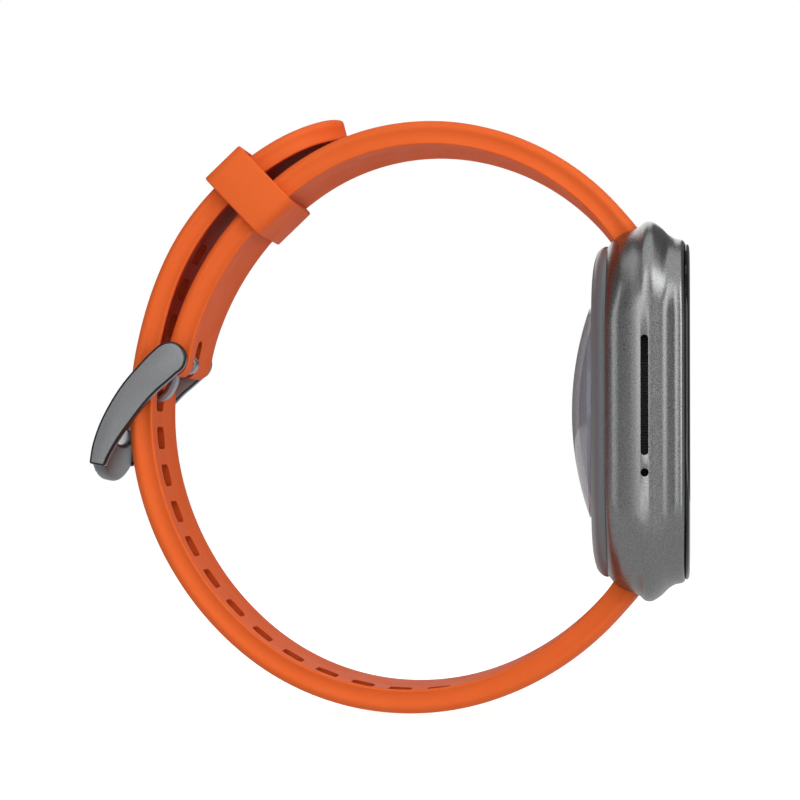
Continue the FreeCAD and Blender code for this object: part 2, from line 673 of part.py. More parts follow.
# -------------------------------------------------------------------------------- inside of the case
def make_inside():
    frame_width, frame_length = f"( {CAVITY_WIDTH} - 2 * clearance )", f"( {CAVITY_LENGTH} - 2 * clearance )"
    inner = slab("inner_frame", frame_width, frame_length, "cavity_corner - clearance", "frame_thick",
                 FRAME_FRONT)
    half_window = f"( {frame_width} / 2 - frame_rim - bridge_width / 2 )"
    for sign in ("1", "- 1"):
        side = "Right" if sign == "1" else "Left"
        hole = sketch_on(inner, "XZ_Plane", "FrameWindow" + side,
                         x=f"{sign} * ( {half_window} / 2 + bridge_width / 2 )")
        rounded_rectangle(hole, half_window, f"{frame_length} - 2 * frame_rim", "2")
        pocket(inner, hole, "frame_thick")
    board = slab("main_board", BOARD_WIDTH, BOARD_LENGTH, "board_corner", "board_thick", FRAME_BACK)
    places = [(f"{sx} * screw_across", f"{sz} * ( {BOARD_LENGTH} / 2 - screw_inset )")
              for sx in ("1", "- 1") for sz in ("1", "- 1")]
    for piece, thick in ((board, "board_thick"), (inner, "frame_thick")):
        holes = sketch_on(piece, "XZ_Plane", piece.Label + "ScrewHoles")
        for x, z in places:
            circle_in(holes, "screw_radius", x, z)
        pocket(piece, holes, thick)
    screws = []
    for index, (x, z) in enumerate(places):
        head = turned_along_y(f"ScrewHead{index}", "screw_head_radius", "screw_head_thick", BOARD_BACK, x, z)
        shank = turned_along_y(f"ScrewShank{index}", "screw_radius", "board_thick + frame_thick",
                               FRAME_FRONT, x, z)
        screws.append(joined(f"Screw{index}", head, shank))
    group("board_screws", screws)

    slab("shield_can", "can_width", "can_length", "1", "can_thick", BOARD_BACK, "4", "5.5")
    slab("gps_antenna", "antenna_width", "antenna_length", "0.6", "antenna_thick", BOARD_BACK, "0",
         f"{BOARD_LENGTH} / 2 - antenna_length / 2 - clearance")
    battery_length = f"( {CAVITY_LENGTH} - battery_inset_top - battery_inset_bottom )"
    slab("battery", "battery_width", battery_length, "1.6", "battery_thick",
         f"{BOARD_BACK} + can_thick + clearance", "0.5", "( battery_inset_bottom - battery_inset_top ) / 2")
    turned_along_y("vibration_motor", "motor_radius", "motor_thick", BOARD_BACK, "3",
                   f"motor_radius + clearance - {BOARD_LENGTH} / 2")

    wall = f"( - {CAVITY_WIDTH} / 2 )"
    sound_length = "speaker_slot_length + 2 * mesh_margin"
    block("speaker_mesh", "mesh_thick", "speaker_slot_width + 2 * mesh_margin", sound_length,
          f"{wall} + mesh_thick / 2", SIDE_DEPTH, "speaker_slot_height")
    block("speaker_module", "speaker_box_width", "speaker_box_thick", sound_length,
          f"{wall} + mesh_thick + speaker_box_width / 2", SIDE_DEPTH, "speaker_slot_height")
    rod_along_x("mic_mesh", "mic_hole_radius + mesh_margin", "mesh_thick", wall, SIDE_DEPTH, "mic_height")
    block("microphone", "mic_box_thick", "mic_box_side", "mic_box_side - 0.4",
          f"{wall} + mesh_thick + mic_box_thick / 2", SIDE_DEPTH, "mic_height - 0.2")

    # flexible circuits between the pieces that they join
    panel_back = f"( {GLASS_BACK} + display_thick )"
    drop = f"( {FRAME_BACK} - {panel_back} )"
    foot = block("DisplayFlexFoot", "flex_width", "flex_thick", "3", "- 6",
                 f"{FRAME_BACK} - flex_thick / 2", "- 8.5")
    riser = block("DisplayFlexRiser", "flex_width", drop, "flex_thick", "- 6",
                  f"{panel_back} + {drop} / 2", "- 10")
    joined("display_flex", foot, riser)
    gap = "( can_thick + clearance )"
    block("battery_flex", "flex_width", gap, "2", "- 6", f"{BOARD_BACK} + {gap} / 2",
          f"battery_inset_bottom + 1.4 - {CAVITY_LENGTH} / 2")
    rise = f"( {BACK} - sensor_board_thick + clearance - {BOARD_BACK} )"
    block("sensor_flex", "flex_width", rise, "flex_thick", "- 4", f"{BOARD_BACK} + {rise} / 2",
          f"battery_inset_bottom - 0.5 - {CAVITY_LENGTH} / 2")


# --------------------------------------------------------------------------------------------- crown
def ring_along_x(label, outer, inner, length, x, y, z):
    """A rod along X with a hole through it."""
    rod = rod_along_x(label + "Rod", outer, length, x, y, z)
    hole = rod_along_x(label + "Hole", inner, f"( {length} ) + 1", f"( {x} ) - 0.5", y, z)
    return cut(label, rod, hole)


def make_crown():
    depth, high, wall = SIDE_DEPTH, "crown_height", "case_width / 2"
    stem_end = f"{wall} - side_wall - crown_tube_spare - crown_stem_spare"
    tube_start = f"{wall} - side_wall - crown_tube_spare"
    bore = "crown_stem_radius + running_gap"
    ring_along_x("crown_tube", f"{bore} + crown_tube_wall", bore, "side_wall + crown_tube_spare", tube_start,
                 depth, high)

    stem = rod_along_x("StemRod", "crown_stem_radius",
                       "side_wall + crown_tube_spare + crown_stem_spare + crown_gap + crown_thick / 2",
                       stem_end, depth, high)
    clip_at = f"{tube_start} - 2 * running_gap - clip_thick"
    neck = "crown_stem_radius - clip_groove_depth"
    tools = [ring_along_x("ClipGroove", "crown_stem_radius + 1", neck, "clip_thick + 2 * running_gap",
                          f"{clip_at} - running_gap", depth, high)]
    seals = []
    for index in range(2):
        middle = f"{wall} - 1.2 - {index} * seal_pitch"
        floor = "crown_stem_radius - seal_groove_depth"
        tools.append(ring_along_x(f"SealGroove{index}", "crown_stem_radius + 1", floor,
                                  "2 * seal_cord_radius + 0.04", f"{middle} - seal_cord_radius - 0.02",
                                  depth, high))
        seal = doc.addObject("Part::Torus", f"Seal{index}")
        bind(seal, Radius1=f"{floor} + seal_cord_radius", Radius2="seal_cord_radius")
        seal.Placement.Rotation = FreeCAD.Rotation(Vector(0, 1, 0), 90)
        seals.append(place(seal, middle, depth, high))
    cut("crown_stem", stem, *tools)
    group("crown_seals", seals)

    knob = rod_along_x("KnobRod", "crown_radius", "crown_thick", f"{wall} + crown_gap", depth, high)
    socket = rod_along_x("KnobSocket", "crown_stem_radius", "crown_thick / 2", f"{wall} + crown_gap",
                         depth, high)
    cut("crown_knob", knob, socket)

    ring_along_x("crown_clip", "clip_radius", f"{neck} + running_gap", "clip_thick", clip_at, depth, high)
    rod_along_x("switch_plunger", "plunger_radius", "plunger_length", f"{stem_end} - plunger_length",
                depth, high)
    face = f"{stem_end} - crown_travel - running_gap"
    box = block("SwitchBox", "switch_thick", "switch_side", "switch_side", f"{face} - switch_thick / 2",
                depth, high)
    well = "plunger_length - running_gap"
    hole = rod_along_x("SwitchHole", "plunger_radius + running_gap", well, f"{face} - ( {well} )",
                       depth, high)
    cut("crown_switch", box, hole)


# --------------------------------------------------------------------------------------------- strap
class Line:
    """A line of tangent arcs in the YZ plane, followed from a point with a heading in degrees."""

    def __init__(self, start, heading, side):
        self.pieces = []
        self.end, self.heading, self.side, self.length = start, heading, side, 0.0

    @staticmethod
    def ahead(heading):
        """The direction of a heading."""
        return Vector(0, math.cos(math.radians(heading)), math.sin(math.radians(heading)))

    @staticmethod
    def left(heading):
        """The direction to the left of a heading."""
        return Line.ahead(heading + 90)

    def arc(self, radius, turn):
        """Goes on with an arc that turns by so many degrees."""
        centre = self.end + self.left(self.heading) * (self.side * radius)
        self.pieces.append((self.heading, centre, radius, turn, self.length))
        self.heading += self.side * turn
        self.end = centre - self.left(self.heading) * (self.side * radius)
        self.length += math.radians(turn) * radius

    def reach(self, point, heading):
        """Goes on with two arcs that meet a point with a heading."""
        first, last = self.ahead(self.heading), self.ahead(heading)
        way = point - self.end
        double = 2 * (1 - first.dot(last))
        along = way.dot(first + last)
        run = (math.sqrt(along * along + double * way.dot(way)) - along) / double
        middle = (self.end + first * run + point - last * run) * 0.5
        for target in (middle, point):
            chord = target - self.end
            bearing = math.degrees(math.atan2(chord.z, chord.y))
            turn = 2 * ((bearing - self.heading) * self.side % 360)
            self.arc(chord.Length / 2 / math.sin(math.radians(turn / 2)), turn)

    def at(self, distance):
        """The point and the heading at a distance along the line."""
        heading, centre, radius, _, run = [p for p in self.pieces if p[4] <= distance or p[4] == 0][-1]
        turned = heading + self.side * math.degrees((distance - run) / radius)
        return centre - self.left(turned) * (self.side * radius), turned

    def outward(self, distance):
        """The direction away from the wrist."""
        return self.left(self.at(distance)[1]) * -self.side

    def wire(self):
        """The line as one wire."""
        edges = []
        for heading, centre, radius, turn, _ in self.pieces:
            points = [centre - self.left(heading + self.side * turn * share) * (self.side * radius)
                      for share in (0, 0.5, 1)]
            edges.append(Part.Arc(*points).toShape())
        return Part.Wire(edges)


def bar_point(sign):
    """The middle of a strap bar."""
    return Vector(0, size(BAR_DEPTH), sign * size(BAR_HEIGHT))


def upper_line():
    """The middle line of the short strap half, from its bar at the case to the buckle's bar."""
    line = Line(bar_point(1), size("upper_start"), -1)
    for index in (1, 2, 3):
        line.arc(size(f"upper_radius_{index}"), size(f"upper_turn_{index}"))
    return line


UPPER = upper_line()
BUCKLE = UPPER.end
KEEPER_AT = UPPER.pieces[2][4] + math.radians(size("keeper_turn")) * size("upper_radius_3")


def lower_line():
    """The middle line of the long strap half: it runs to the tang, and then lies on the upper half
    under the keeper."""
    line = Line(bar_point(-1), -size("lower_start"), 1)
    line.arc(size("lower_radius"), size("lower_turn"))
    line.reach(BUCKLE + Vector(0, size("tang_out"), -size("tang_drop")), UPPER.heading + size("tang_heading"))
    point, heading = UPPER.at(KEEPER_AT)
    line.reach(point + UPPER.outward(KEEPER_AT) * size("strap_thick + layer_gap"), heading + 180)
    line.arc(size("tail_radius"), math.degrees(size("tail_past_keeper") / size("tail_radius")))
    return line


LOWER = lower_line()
TANG_AT = LOWER.pieces[3][4]


def width_at(line, distance, last):
    """An expression for a strap half's width at a distance along its line."""
    return f"( strap_width_lug + ( {last} - strap_width_lug ) * {distance / line.length:.6f} )"


BUCKLE_ROOM = f"( {width_at(LOWER, TANG_AT, TAIL_WIDTH)} + 2 * buckle_side_gap )"
KEEPER_ROOM = f"( {width_at(UPPER, KEEPER_AT, 'strap_width_buckle')} + 2 * keeper_side_gap )"


def ribbon(label, line, widths):
    """A strap blank: a rectangle swept along its line, narrowing from its first width to its last."""
    sweep = Part.BRepOffsetAPI.MakePipeShell(line.wire())
    sweep.setFrenetMode(False)
    for distance, width in zip((0.0, line.length), widths):
        point = line.at(distance)[0]
        out = line.outward(distance) * size("strap_thick / 2")
        across = Vector(size(width) / 2, 0, 0)
        corners = [point + out + across, point + out - across, point - out - across, point - out + across]
        sweep.add(Part.makePolygon(corners + corners[:1]))
    sweep.build()
    sweep.makeSolid()
    blank = doc.addObject("Part::Feature", label)
    blank.Shape = sweep.shape()
    return blank


def rod_at(label, radius, length, point, start=None):
    """A rod along X at a point of the YZ plane, centred on it unless it has a start of its own."""
    return rod_along_x(label, radius, length, start or f"- ( {length} ) / 2",
                       f"{point.y:.6f}", f"{point.z:.6f}")


def turned_box(label, width, along, out, line, distance, shift="0", x="0"):
    """A box across a strap at a distance along its line, its middle shifted outward."""
    part = doc.addObject("Part::Box", label)
    bind(part, Length=width, Width=along, Height=out)
    turn = FreeCAD.Rotation(Vector(1, 0, 0), line.at(distance)[1])
    middle = Vector(size(width), size(along), size(out)) * 0.5
    point = line.at(distance)[0] + line.outward(distance) * size(shift) + Vector(size(x), 0, 0)
    part.Placement = FreeCAD.Placement(point - turn.multVec(middle), turn)
    return part


LEVER_X = f"( release_from_end - {BAR_LENGTH} / 2 )"
LEVER_SWEEP = "( release_travel + 2 * release_lever_radius )"


def eye_tools(name, sign, line):
    """The bore for the strap bar, and the window that its lever moves in."""
    bore = rod_at(f"{name}Bore", "bar_tube_radius + running_gap", "strap_width_lug + 2", bar_point(sign))
    window = turned_box(f"{name}Window", f"{LEVER_SWEEP} + 2 * release_window_margin",
                        "2 * release_lever_radius + 1.2", "4", line, 0.0, "- 2.2",
                        f"{LEVER_X} + release_travel / 2")
    return bore, window


def make_upper_strap():
    blank = ribbon("UpperBlank", UPPER, ("strap_width_lug", "strap_width_buckle"))
    eye = rod_at("UpperEye", EYE_RADIUS, "strap_width_lug", bar_point(1))
    end = rod_at("UpperEnd", EYE_RADIUS, "strap_width_buckle", BUCKLE)
    whole = joined("UpperWhole", blank, eye, end)
    buckle_bore = rod_at("BuckleBore", "buckle_pin_radius + running_gap", "strap_width_buckle + 2", BUCKLE)
    eye_of_tang = "( buckle_pin_radius + running_gap + tang_eye_wall )"
    slot = turned_box("TangSlot", "tang_width + 2 * tang_side_gap", f"2 * {eye_of_tang} + 4", "8",
                      UPPER, UPPER.length + 2 - size("clearance"))
    cut("upper_strap", whole, *eye_tools("Upper", 1, UPPER), buckle_bore, slot)


def make_lower_strap():
    blank = ribbon("LowerBlank", LOWER, ("strap_width_lug", TAIL_WIDTH))
    eye = rod_at("LowerEye", EYE_RADIUS, "strap_width_lug", bar_point(-1))
    whole = joined("LowerWhole", blank, eye)
    tools = list(eye_tools("Lower", -1, LOWER))
    for index in range(-int(size("holes_to_case")), int(size("holes_to_tail")) + 1):
        distance = TANG_AT + index * size("hole_pitch")
        tools.append(turned_box(f"StrapHole{len(tools)}", "hole_width", "hole_length", "strap_thick + 2",
                                LOWER, distance))
    # the tail ends in a half round
    square = turned_box("TailSquare", f"{TAIL_WIDTH} + 2", f"{TAIL_WIDTH} / 2 + 1", "strap_thick + 3",
                        LOWER, LOWER.length - size(TAIL_WIDTH) / 4 + 0.5)
    point, heading = LOWER.at(LOWER.length - size(TAIL_WIDTH) / 2)
    disc = doc.addObject("Part::Cylinder", "TailRound")
    bind(disc, Radius=f"{TAIL_WIDTH} / 2", Height="strap_thick + 6")
    turn = FreeCAD.Rotation(Vector(1, 0, 0), heading)
    disc.Placement = FreeCAD.Placement(point - turn.multVec(Vector(0, 0, size("strap_thick") / 2 + 3)), turn)
    tools.append(cut("TailTool", square, disc))
    cut("lower_strap", whole, *tools)


def make_strap_bar(name, sign):
    """A quick-release bar: a tube with a fixed tip at one end and a sprung sliding pin at the other."""
    point = bar_point(sign)
    end = f"{BAR_LENGTH} / 2"
    line = UPPER if sign > 0 else LOWER
    inward = FreeCAD.Rotation(Vector(0, 0, 1), line.outward(0.0) * -1)
    tube = rod_at(f"{name}TubeRod", "bar_tube_radius", BAR_LENGTH, point)
    bore = rod_at(f"{name}TubeBore", BAR_BORE, f"{BAR_LENGTH} + 2", point)
    slot = turned_box(f"{name}TubeSlot", f"{LEVER_SWEEP} + 4 * running_gap",
                      "2 * release_lever_radius + 2 * running_gap", "2", line, 0.0, "- 1",
                      f"{LEVER_X} + release_travel / 2")
    cut(f"{name}_bar_tube", tube, bore, slot)

    reach = "( bar_tip_reach + bar_tube_inset + slot_gap )"
    plug = rod_at(f"{name}Plug", BAR_BORE, "bar_plug_length", point, f"{end} - bar_plug_length")
    tip = rod_at(f"{name}Tip", "bar_tip_radius", reach, point, end)
    joined(f"{name}_bar_tip", plug, tip)

    inside = "0.3"
    pin = rod_at(f"{name}Pin", f"{BAR_BORE} - running_gap", f"bar_pin_inside - {inside}", point,
                 f"{inside} - {end}")
    nose = rod_at(f"{name}Nose", "bar_tip_radius", f"{reach} + {inside} + 0.2", point, f"- {end} - {reach}")
    lever = doc.addObject("Part::Cylinder", f"{name}Lever")
    bind(lever, Radius="release_lever_radius", Height="release_lever_length")
    lever.Placement = FreeCAD.Placement(point + Vector(size(LEVER_X), 0, 0), inward)
    joined(f"{name}_release_pin", pin, nose, lever)

    coil = f"{BAR_BORE} - running_gap"
    ring_along_x(f"{name}_bar_spring", coil, f"{coil} - bar_spring_wire",
                 f"{BAR_LENGTH} - bar_plug_length - bar_pin_inside", f"bar_pin_inside - {end}",
                 f"{point.y:.6f}", f"{point.z:.6f}")


# -------------------------------------------------------------------------------------------- buckle
def make_buckle():
    body = body_called("buckle_frame")
    arms = sketch_on(body, "YZ_Plane", "ArmProfile")
    top, low = "buckle_reach", "( - buckle_drop )"
    round_end = "buckle_end_radius"
    outline(arms, [
        ("0.3", round_end, "- buckle_outer_bulge"),
        (top, low, "- 0.5"),
        (f"{top} - buckle_bar_thick", f"{low} - 0.35", "buckle_inner_bulge"),
        ("1", f"- {round_end} - 0.9", f"- {round_end} - 0.15"),
    ])
    pad(body, arms, f"{BUCKLE_ROOM} + 2 * buckle_arm_width", midplane=True)
    window = sketch_on(body, "YZ_Plane", "ArmGap")
    outline(window, [
        ("- 5", "5"),
        (f"{top} + 3", "5"),
        (f"{top} + 3", f"{low} + buckle_bar_deep"),
        ("0", f"{low} + buckle_bar_deep - 1.2"),
        ("- 5", "- 6"),
    ])
    pocket(body, window, BUCKLE_ROOM, midplane=True)
    pivot = sketch_on(body, "YZ_Plane", "PivotHoles")
    circle_in(pivot, "buckle_pin_radius - buckle_pin_wall + running_gap")
    pocket(body, pivot, f"{BUCKLE_ROOM} + buckle_arm_width", midplane=True)
    y, z = f"{BUCKLE.y:.6f}", f"{BUCKLE.z:.6f}"
    place(body, y=y, z=z)

    core = "buckle_pin_radius - buckle_pin_wall"
    tube_length = f"( {BUCKLE_ROOM} - 0.6 )"
    ring_along_x("buckle_bar_tube", "buckle_pin_radius", core, tube_length, f"- {tube_length} / 2", y, z)
    tip_inside = "3"
    tips = [rod_along_x(f"BuckleTip{side}", core, f"{tip_inside} + 0.8", start, y, z)
            for side, start in (("Right", f"{BUCKLE_ROOM} / 2 - {tip_inside}"),
                                ("Left", f"- {BUCKLE_ROOM} / 2 - 0.8"))]
    group("buckle_bar_tips", tips)
    coil_length = f"( {BUCKLE_ROOM} - 2 * {tip_inside} )"
    ring_along_x("buckle_bar_spring", f"{core} - running_gap", f"{core} - running_gap - bar_spring_wire",
                 coil_length, f"- {coil_length} / 2", y, z)
    make_tang(y, z)


def make_tang(y, z):
    """The tang leaves its eye, goes straight through the strap's hole and rests on the cross bar."""
    through = LOWER.at(TANG_AT)[0] - BUCKLE
    out = LOWER.outward(TANG_AT)
    half = size("tang_thick") / 2
    inner = through - out * size("strap_thick / 2 + 0.1")
    outer = through + out * size("strap_thick / 2 + 0.2")
    tip = Vector(0, size("buckle_reach + 0.15"), -size("buckle_drop"))
    lean = Line.ahead(LOWER.at(TANG_AT)[1])
    bar_side = Vector(0, -0.98, 0.2)
    corners = [
        (Vector(0, 1.1, -0.3), None),
        (inner + lean * half, None),
        (outer + lean * half, -0.8),
        (tip - bar_side * 1.1 + Vector(0, 0, 2.2), None),
        (tip - bar_side * 0.9, None),
        (tip, None),
        (tip + Vector(0, 0, 2.5), 0.5),
        (outer - lean * half, None),
        (inner - lean * half, None),
        (Vector(0, -0.6, -1.2), None),
    ]
    tang = body_called("buckle_tang")
    side = sketch_on(tang, "YZ_Plane", "TangProfile")
    outline(side, [(f"{c.y:.5f}", f"{c.z:.5f}") if bulge is None else (f"{c.y:.5f}", f"{c.z:.5f}", f"{bulge}")
                   for c, bulge in corners])
    pad(tang, side, "tang_width", midplane=True)
    eye = sketch_on(tang, "YZ_Plane", "TangEye")
    circle_in(eye, "buckle_pin_radius + running_gap + tang_eye_wall")
    pad(tang, eye, "tang_width", midplane=True)
    hole = sketch_on(tang, "YZ_Plane", "TangBore")
    circle_in(hole, "buckle_pin_radius + running_gap")
    pocket(tang, hole, "tang_width + 1", midplane=True)
    place(tang, y=y, z=z)


def make_keeper():
    room = "( 2 * strap_thick + layer_gap + 2 * keeper_gap )"
    shift = "( strap_thick + layer_gap ) / 2 - 0.05"
    outer = turned_box("KeeperOuter", f"{KEEPER_ROOM} + 2 * keeper_wall", "keeper_length",
                       f"{room} + 2 * keeper_wall", UPPER, KEEPER_AT, shift)
    inner = turned_box("KeeperInner", KEEPER_ROOM, "keeper_length + 2", room, UPPER, KEEPER_AT, shift)
    cut("keeper_loop", outer, inner)


make_mid_case()
make_glass_stack()
make_rear_cover()
make_sensor()
make_inside()
make_crown()
make_upper_strap()
make_lower_strap()
make_strap_bar("upper", 1)
make_strap_bar("lower", -1)
make_buckle()
make_keeper()
doc.recompute()

NODES = [
    "mid_case", "cover_glass", "display_gasket", "display_panel", "rear_cover", "rear_gasket",
    "sensor_window", "sensor_board", "sensor_leds", "photodiodes", "sensor_baffle", "charging_contacts",
    "charging_magnets", "inner_frame", "main_board", "board_screws", "shield_can", "gps_antenna", "battery",
    "vibration_motor", "speaker_mesh", "speaker_module", "mic_mesh", "microphone", "display_flex",
    "battery_flex", "sensor_flex", "crown_tube", "crown_stem", "crown_seals", "crown_knob", "crown_clip",
    "switch_plunger", "crown_switch", "upper_strap", "lower_strap", "upper_bar_tube", "upper_bar_tip",
    "upper_release_pin", "upper_bar_spring", "lower_bar_tube", "lower_bar_tip", "lower_release_pin",
    "lower_bar_spring", "buckle_frame", "buckle_bar_tube", "buckle_bar_tips", "buckle_bar_spring",
    "buckle_tang", "keeper_loop",
]
for thing in doc.Objects:
    if {"Invalid", "Error"} & set(thing.State):
        raise RuntimeError(f"{thing.Label} failed: {thing.State}")
os.makedirs("parts", exist_ok=True)
for node in NODES:
    shape = doc.getObjectsByLabel(node)[0].Shape
    if shape.isNull() or not shape.isValid():
        raise RuntimeError(f"{node} has no valid shape")
    shape.exportStep(f"parts/{node}.step")
    print(f"{node}: {len(shape.Solids)} solid(s), {shape.Volume:.2f} mm3")
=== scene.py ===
# %% [markdown]
# # A running watch, closed
# The watch stands on its strap, buckled. Its inside, the lens and the small steel parts come from the CAD
# model. The case shell, cover glass, back cover, crown, strap halves, keeper, buckle and tang get finer
# shapes here, and everything gets a finish of its own.

# %% Load the CAD model
import bpy
import bmesh
import math
from mathutils import Matrix, Vector


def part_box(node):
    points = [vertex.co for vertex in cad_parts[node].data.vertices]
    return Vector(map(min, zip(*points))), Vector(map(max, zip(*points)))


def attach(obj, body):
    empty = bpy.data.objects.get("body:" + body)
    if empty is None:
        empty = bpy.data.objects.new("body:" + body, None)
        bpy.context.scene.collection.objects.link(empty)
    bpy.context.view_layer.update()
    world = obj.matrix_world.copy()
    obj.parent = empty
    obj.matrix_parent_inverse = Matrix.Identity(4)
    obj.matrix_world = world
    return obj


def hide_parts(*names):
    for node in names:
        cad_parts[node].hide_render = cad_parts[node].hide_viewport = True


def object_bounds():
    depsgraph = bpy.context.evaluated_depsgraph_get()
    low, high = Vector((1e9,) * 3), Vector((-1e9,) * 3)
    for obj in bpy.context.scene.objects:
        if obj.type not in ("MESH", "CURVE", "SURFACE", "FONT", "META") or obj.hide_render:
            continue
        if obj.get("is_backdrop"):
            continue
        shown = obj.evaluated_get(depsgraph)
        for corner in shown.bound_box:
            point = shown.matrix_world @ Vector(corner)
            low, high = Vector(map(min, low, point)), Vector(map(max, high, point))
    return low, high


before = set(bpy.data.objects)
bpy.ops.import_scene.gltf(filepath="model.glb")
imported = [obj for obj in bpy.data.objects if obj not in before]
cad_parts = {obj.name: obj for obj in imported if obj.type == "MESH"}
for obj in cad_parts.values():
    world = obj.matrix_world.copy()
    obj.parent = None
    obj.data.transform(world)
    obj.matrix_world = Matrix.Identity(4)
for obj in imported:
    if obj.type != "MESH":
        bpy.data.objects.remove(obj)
cad_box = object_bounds()
MM = 0.001

# %% [markdown]
# ## Where the camera stands
# A watch this small is usually shown through a long lens from about half a metre. The lens sits a little
# below the middle of the watch and a little to the display side, so that the inner faces of the strap show.

# %% Camera
camera_data = bpy.data.cameras.new("Camera")
camera_data.sensor_width = 36.0
camera_data.lens = 158.0
camera = bpy.data.objects.new("Camera", camera_data)
bpy.context.scene.collection.objects.link(camera)
right = Vector((0.08373, -0.99649, 0.0)).normalized()
ahead = Vector((0.99629, 0.08371, 0.01994)).normalized()
above = right.cross(ahead)
camera.matrix_world = Matrix((right, above, -ahead)).transposed().to_4x4()
camera.location = (-0.44815, -0.04023, -0.00731)
bpy.context.scene.camera = camera
print("camera", round(camera.location.length, 3), "m from the middle of the wrist opening")

# %% [markdown]
# ## Shader maths
# A finish is a tree of nodes. It could be wired by hand, one link after another, but sums are hard to read
# that way. Wrapping a socket in a small class lets sums and products be written as ordinary expressions,
# and each one adds the Math node that it stands for.

# %% A socket that takes part in sums
class Socket:
    """A node's output, for use in expressions."""

    def __init__(self, finish, socket):
        self.finish, self.socket = finish, socket

    def __add__(self, other):
        return self.finish.maths("ADD", self, other)

    def __rsub__(self, other):
        return self.finish.maths("SUBTRACT", other, self)

    def __mul__(self, other):
        return self.finish.maths("MULTIPLY", self, other)

    def __pow__(self, other):
        return self.finish.maths("POWER", self, other)

    __radd__, __rmul__ = __add__, __mul__


# %% A finish that makes nodes
class Finish:
    """A material, or the world round the watch, and the nodes in it."""

    def __init__(self, name, shelf="materials"):
        self.data = getattr(bpy.data, shelf).new(name)
        self.data.use_nodes = True
        self.tree = self.data.node_tree
        self.tree.nodes.clear()

    def node(self, kind, settings=(), inputs=(), output=0):
        """Adds a node: its settings first, then the values or links of its sockets."""
        made = self.tree.nodes.new(kind)
        for name, value in dict(settings).items():
            setattr(made, name, value)
        for name, value in dict(inputs).items():
            if isinstance(value, Socket):
                self.tree.links.new(value.socket, made.inputs[name])
            else:
                made.inputs[name].default_value = value
        return Socket(self, made.outputs[output]) if made.outputs else None

    def maths(self, operation, first, second=0.0):
        return self.node("ShaderNodeMath", {"operation": operation}, {0: first, 1: second})

    def noise(self, per_metre, detail=2.0, rough=0.5, stretch=None):
        """Noise with so many lumps a metre, stretched along an axis if asked."""
        where = self.node("ShaderNodeTexCoord", output="Object")
        if stretch:
            where = self.node("ShaderNodeVectorMath", {"operation": "MULTIPLY"}, {0: where, 1: stretch})
        return self.node("ShaderNodeTexNoise", {},
                         {"Vector": where, "Scale": per_metre, "Detail": detail, "Roughness": rough})

    def mix(self, share, first, second):
        """A colour between two colours."""
        return self.node("ShaderNodeMix", {"data_type": "RGBA"}, {0: share, 6: first, 7: second}, output=2)

    def clip(self, value, low, high):
        """0 below low, 1 above high, and straight between."""
        return self.node("ShaderNodeMapRange", {}, {"Value": value, "From Min": low, "From Max": high})

    def bump(self, height, distance, strength=1.0):
        """A surface that rises with a height, by so many metres."""
        return self.node("ShaderNodeBump", {},
                         {"Height": height, "Distance": distance, "Strength": strength})

    def surface(self, **inputs):
        """Ends in the one surface shader, whose sockets are named in words, and gives the material."""
        names = {word: word.replace("_", " ").title().replace("Ior", "IOR") for word in inputs}
        shader = self.node("ShaderNodeBsdfPrincipled", {}, {names[w]: v for w, v in inputs.items()})
        self.node("ShaderNodeOutputMaterial", {}, {"Surface": shader})
        return self.data


def shade(red, green, blue):
    """A colour from its 0 to 255 screen values."""
    linear = [((c / 255 + 0.055) / 1.055) ** 2.4 if c > 10 else c / 255 / 12.92 for c in (red, green, blue)]
    return (*linear, 1.0)


print("screen value 128 is", round(shade(128, 128, 128)[0], 3), "in linear light")

# %% [markdown]
# ## Light
# The case is blasted metal, which shows its shape only through soft bands of light and dark. One tall
# soft light beside the lens makes the broad middle band, and narrower ones on both sides make the thin
# bands at the edges. Bare lamps would leave hot spots, and an even glow alone would flatten the metal.

# %% Lights
def soft_light(name, place, aim, size, power):
    """A soft rectangular light at a place, turned to a point. Sizes are across and up, in metres."""
    data = bpy.data.lights.new(name, "AREA")
    data.shape, data.size, data.size_y, data.energy = "RECTANGLE", size[0], size[1], power
    light = bpy.data.objects.new(name, data)
    bpy.context.scene.collection.objects.link(light)
    direction = Vector(aim) - Vector(place)
    light.rotation_euler = direction.to_track_quat("-Z", "Y").to_euler()
    light.location = place
    return light


soft_light("LensSide", (-0.75, -0.10, 0.16), (0, -0.03, 0), (0.34, 1.0), 2.4)
soft_light("Above", (-0.30, -0.15, 1.1), (0, 0, 0.02), (1.8, 1.6), 8.5)
soft_light("DisplaySide", (-0.42, -0.62, 0.15), (0, -0.01, 0), (0.34, 0.8), 3.0)
soft_light("WristSide", (-0.42, 0.52, 0.12), (0, -0.02, 0), (0.10, 0.7), 0.6)
soft_light("FarSide", (0.6, 0.1, 0.35), (0, 0, 0), (0.5, 0.5), 1.2)

print(len(bpy.data.lights), "soft lights")

# %% [markdown]
# ## World and floor
# A small product is usually shown on a white sweep of card. Here the world and the floor look white to the
# lens and dimmer to every other ray, so that the ground is pale and the watch still has dark sides.

# %% World and floor
WHITE = (1.0, 1.0, 1.0, 1.0)
SKY_GLOW = 0.17
CARD_GLOW = (0.66, 0.66, 0.66, 1.0)
UNDER = 0.0001

sky = Finish("World", "worlds")
seen = sky.node("ShaderNodeLightPath", output="Is Camera Ray")
strength = sky.node("ShaderNodeMapRange", {}, {"Value": seen, "To Min": SKY_GLOW, "To Max": 1.0})
backdrop = sky.node("ShaderNodeBackground", {}, {"Color": WHITE, "Strength": strength})
sky.node("ShaderNodeOutputWorld", {}, {"Surface": backdrop})
bpy.context.scene.world = sky.data
bpy.context.scene.view_settings.view_transform = "Standard"

